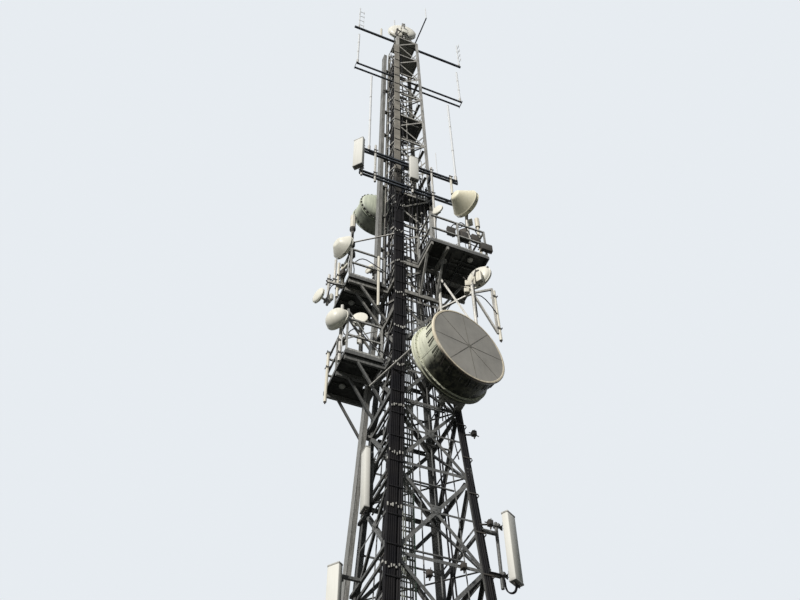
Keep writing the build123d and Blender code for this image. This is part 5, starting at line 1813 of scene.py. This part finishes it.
# %% Radio and stays of the right dish
radio_place = at(1.20, -1.34, 18.58)
box_facing = (-0.4, -0.9)
bm = bmesh.new()
block(bm, radio_place, (0.26, 0.12, 0.36), (0.85, 0.53), bevel=0.02)
for centre, size in (
    ((0.93, -1.34, 18.22), (0.16, 0.12, 0.2)),
    ((0.87, -1.33, 17.97), (0.12, 0.10, 0.2)),
    ((1.06, -1.37, 18.36), (0.08, 0.08, 0.3)),
):
    block(bm, at(*centre), size, box_facing, bevel=0.012)
rod(bm, at(0.985, -1.41, 18.14), at(1.22, -1.29, 18.92), 0.022, 10)
add_piece("right_dish_radio", bm, ["omni_white"])

bm = bmesh.new()
rod(bm, at(0.96, -1.42, 18.10), at(1.17, -1.36, 18.88), 0.014)
rod(bm, at(0.80, -1.35, 18.42), at(1.02, -1.41, 18.12), 0.014)
rod(bm, at(0.74, -1.33, 18.05), at(1.02, -1.42, 17.95), 0.014)
rod(bm, radio_place + Vector((0.05, 0.0, 0.17)), radio_place + Vector((0.17, 0.06, -0.02)), 0.016)
add_piece("right_dish_stays", bm, ["bolt_dark"])

# %% [markdown]
# Under each platform there are round lamps in pale housings, for work at dusk: a short stem and a
# tapered cover.

# %% Lamps under the decks
lamps = [
    (0.53, -0.96, 19.385), (1.12, -1.23, 19.385), (-1.02, 0.28, 15.885), (-1.39, 0.79, 15.885),
    (-1.3, 0.7, 18.785),
]
bm = bmesh.new()
for x, y, z in lamps:
    rod(bm, at(x, y, z + 0.09), at(x, y, z + 0.03), 0.05, 16, 1)
    rod(bm, at(x, y, z + 0.03), at(x, y, z), 0.075, 20, end_radius=0.06)
add_piece("deck_lamps", bm, ["white_tag", "bolt_dark"])

# %% [markdown]
# Four small boxes with a lid sit on brackets in front of the lattice. Each bracket reaches back to
# the face of the tower, or to the leg where the box stands out beyond it.

# %% Boxes on the front face
bm = bmesh.new()
for x, z in ((0.93, 13.85), (1.02, 11.6), (0.38, 10.49), (-0.28, 10.18)):
    front = -half_width(z)
    inner = min(x, half_width(z) - 0.06)
    block(bm, at(x, front - 0.12, z), (0.10, 0.09, 0.12), bevel=0.012)
    block(bm, at(x, front - 0.17, z), (0.08, 0.012, 0.10), bevel=0.004)
    rod(bm, at(x - 0.10, front - 0.10, z + 0.02), at(x + 0.12, front - 0.10, z - 0.02), 0.011, 6)
    rod(bm, at(x + 0.02, front - 0.10, z - 0.1), at(x + 0.04, front - 0.10, z + 0.14), 0.009, 6)
    rod(bm, at(x, front - 0.08, z), at(inner, front - 0.004, z), 0.018)
    rod(bm, at(x, front - 0.12, z - 0.085), at(x, front - 0.12, z - 0.13), 0.014)
add_piece("lamp_boxes", bm, ["bolt_dark"])

# %% [markdown]
# ## Ribs
# The decks are thin plate on angle ribs. The ribs are real bars here, because the decks are seen
# from below; the raised pattern on the plate's top is not drawn.

# %% Deck ribs
rib_gaps = 4
decks = ((-1.62, -0.92, -0.20, 1.15, 16.0), (-1.58, -0.75, -0.06, 1.06, 18.9), (0.72, 1.50, -1.40, 0.0, 19.5))
bm = bmesh.new()
for x0, x1, y0, y1, top in decks:
    for y in evenly(y0, y1, rib_gaps)[1:-1]:
        block(bm, at((x0 + x1) / 2, y, top - 0.032), (x1 - x0, 0.006, 0.045))
        block(bm, at((x0 + x1) / 2, y + 0.018, top - 0.052), (x1 - x0, 0.036, 0.005))
add_piece("deck_ribs", bm, ["deck_plate"])

# %% [markdown]
# ## The cable ladder
# A cable ladder climbs straight up inside the front left corner: two side rails, a rung every
# 300 mm, and pale old cables tied to it, with a green earth wire. Arms to the left face carry it.

# %% Cable ladder
ladder_y, ladder_foot, ladder_head = -0.30, 0.9, 20.8
rail_x = (-0.50, -0.19)
bm = bmesh.new()
for x in rail_x:
    middle = at(x, ladder_y, (ladder_foot + ladder_head) / 2)
    block(bm, middle, (0.012, 0.06, ladder_head - ladder_foot))
for z in steps_up(ladder_foot + 0.15, ladder_head, 0.3):
    block(bm, at(sum(rail_x) / 2, ladder_y + 0.01, z), (rail_x[1] - rail_x[0], 0.03, 0.025))
for z in steps_up(2.2, ladder_head - 0.2, 2.1):
    outer = -half_width(z) + 0.03
    centre = at((outer + rail_x[1]) / 2, ladder_y + 0.05, z)
    block(bm, centre, (rail_x[1] - outer, 0.04, 0.04), bevel=0.004)
add_piece("cable_ladder", bm, ["pole_steel"])

bm = bmesh.new()
for x, head in ((-0.46, 20.5), (-0.42, 20.5), (-0.375, 19.0), (-0.30, 20.0), (-0.255, 18.5)):
    post(bm, x, ladder_y - 0.03, 0.95, head, 0.015)
add_piece("ladder_cables", bm, ["cable_grey"])

bm = bmesh.new()
post(bm, -0.205, ladder_y - 0.045, 0.95, 12.4, 0.008, 6)
add_piece("earth_wire", bm, ["earth_wire"])

# %% [markdown]
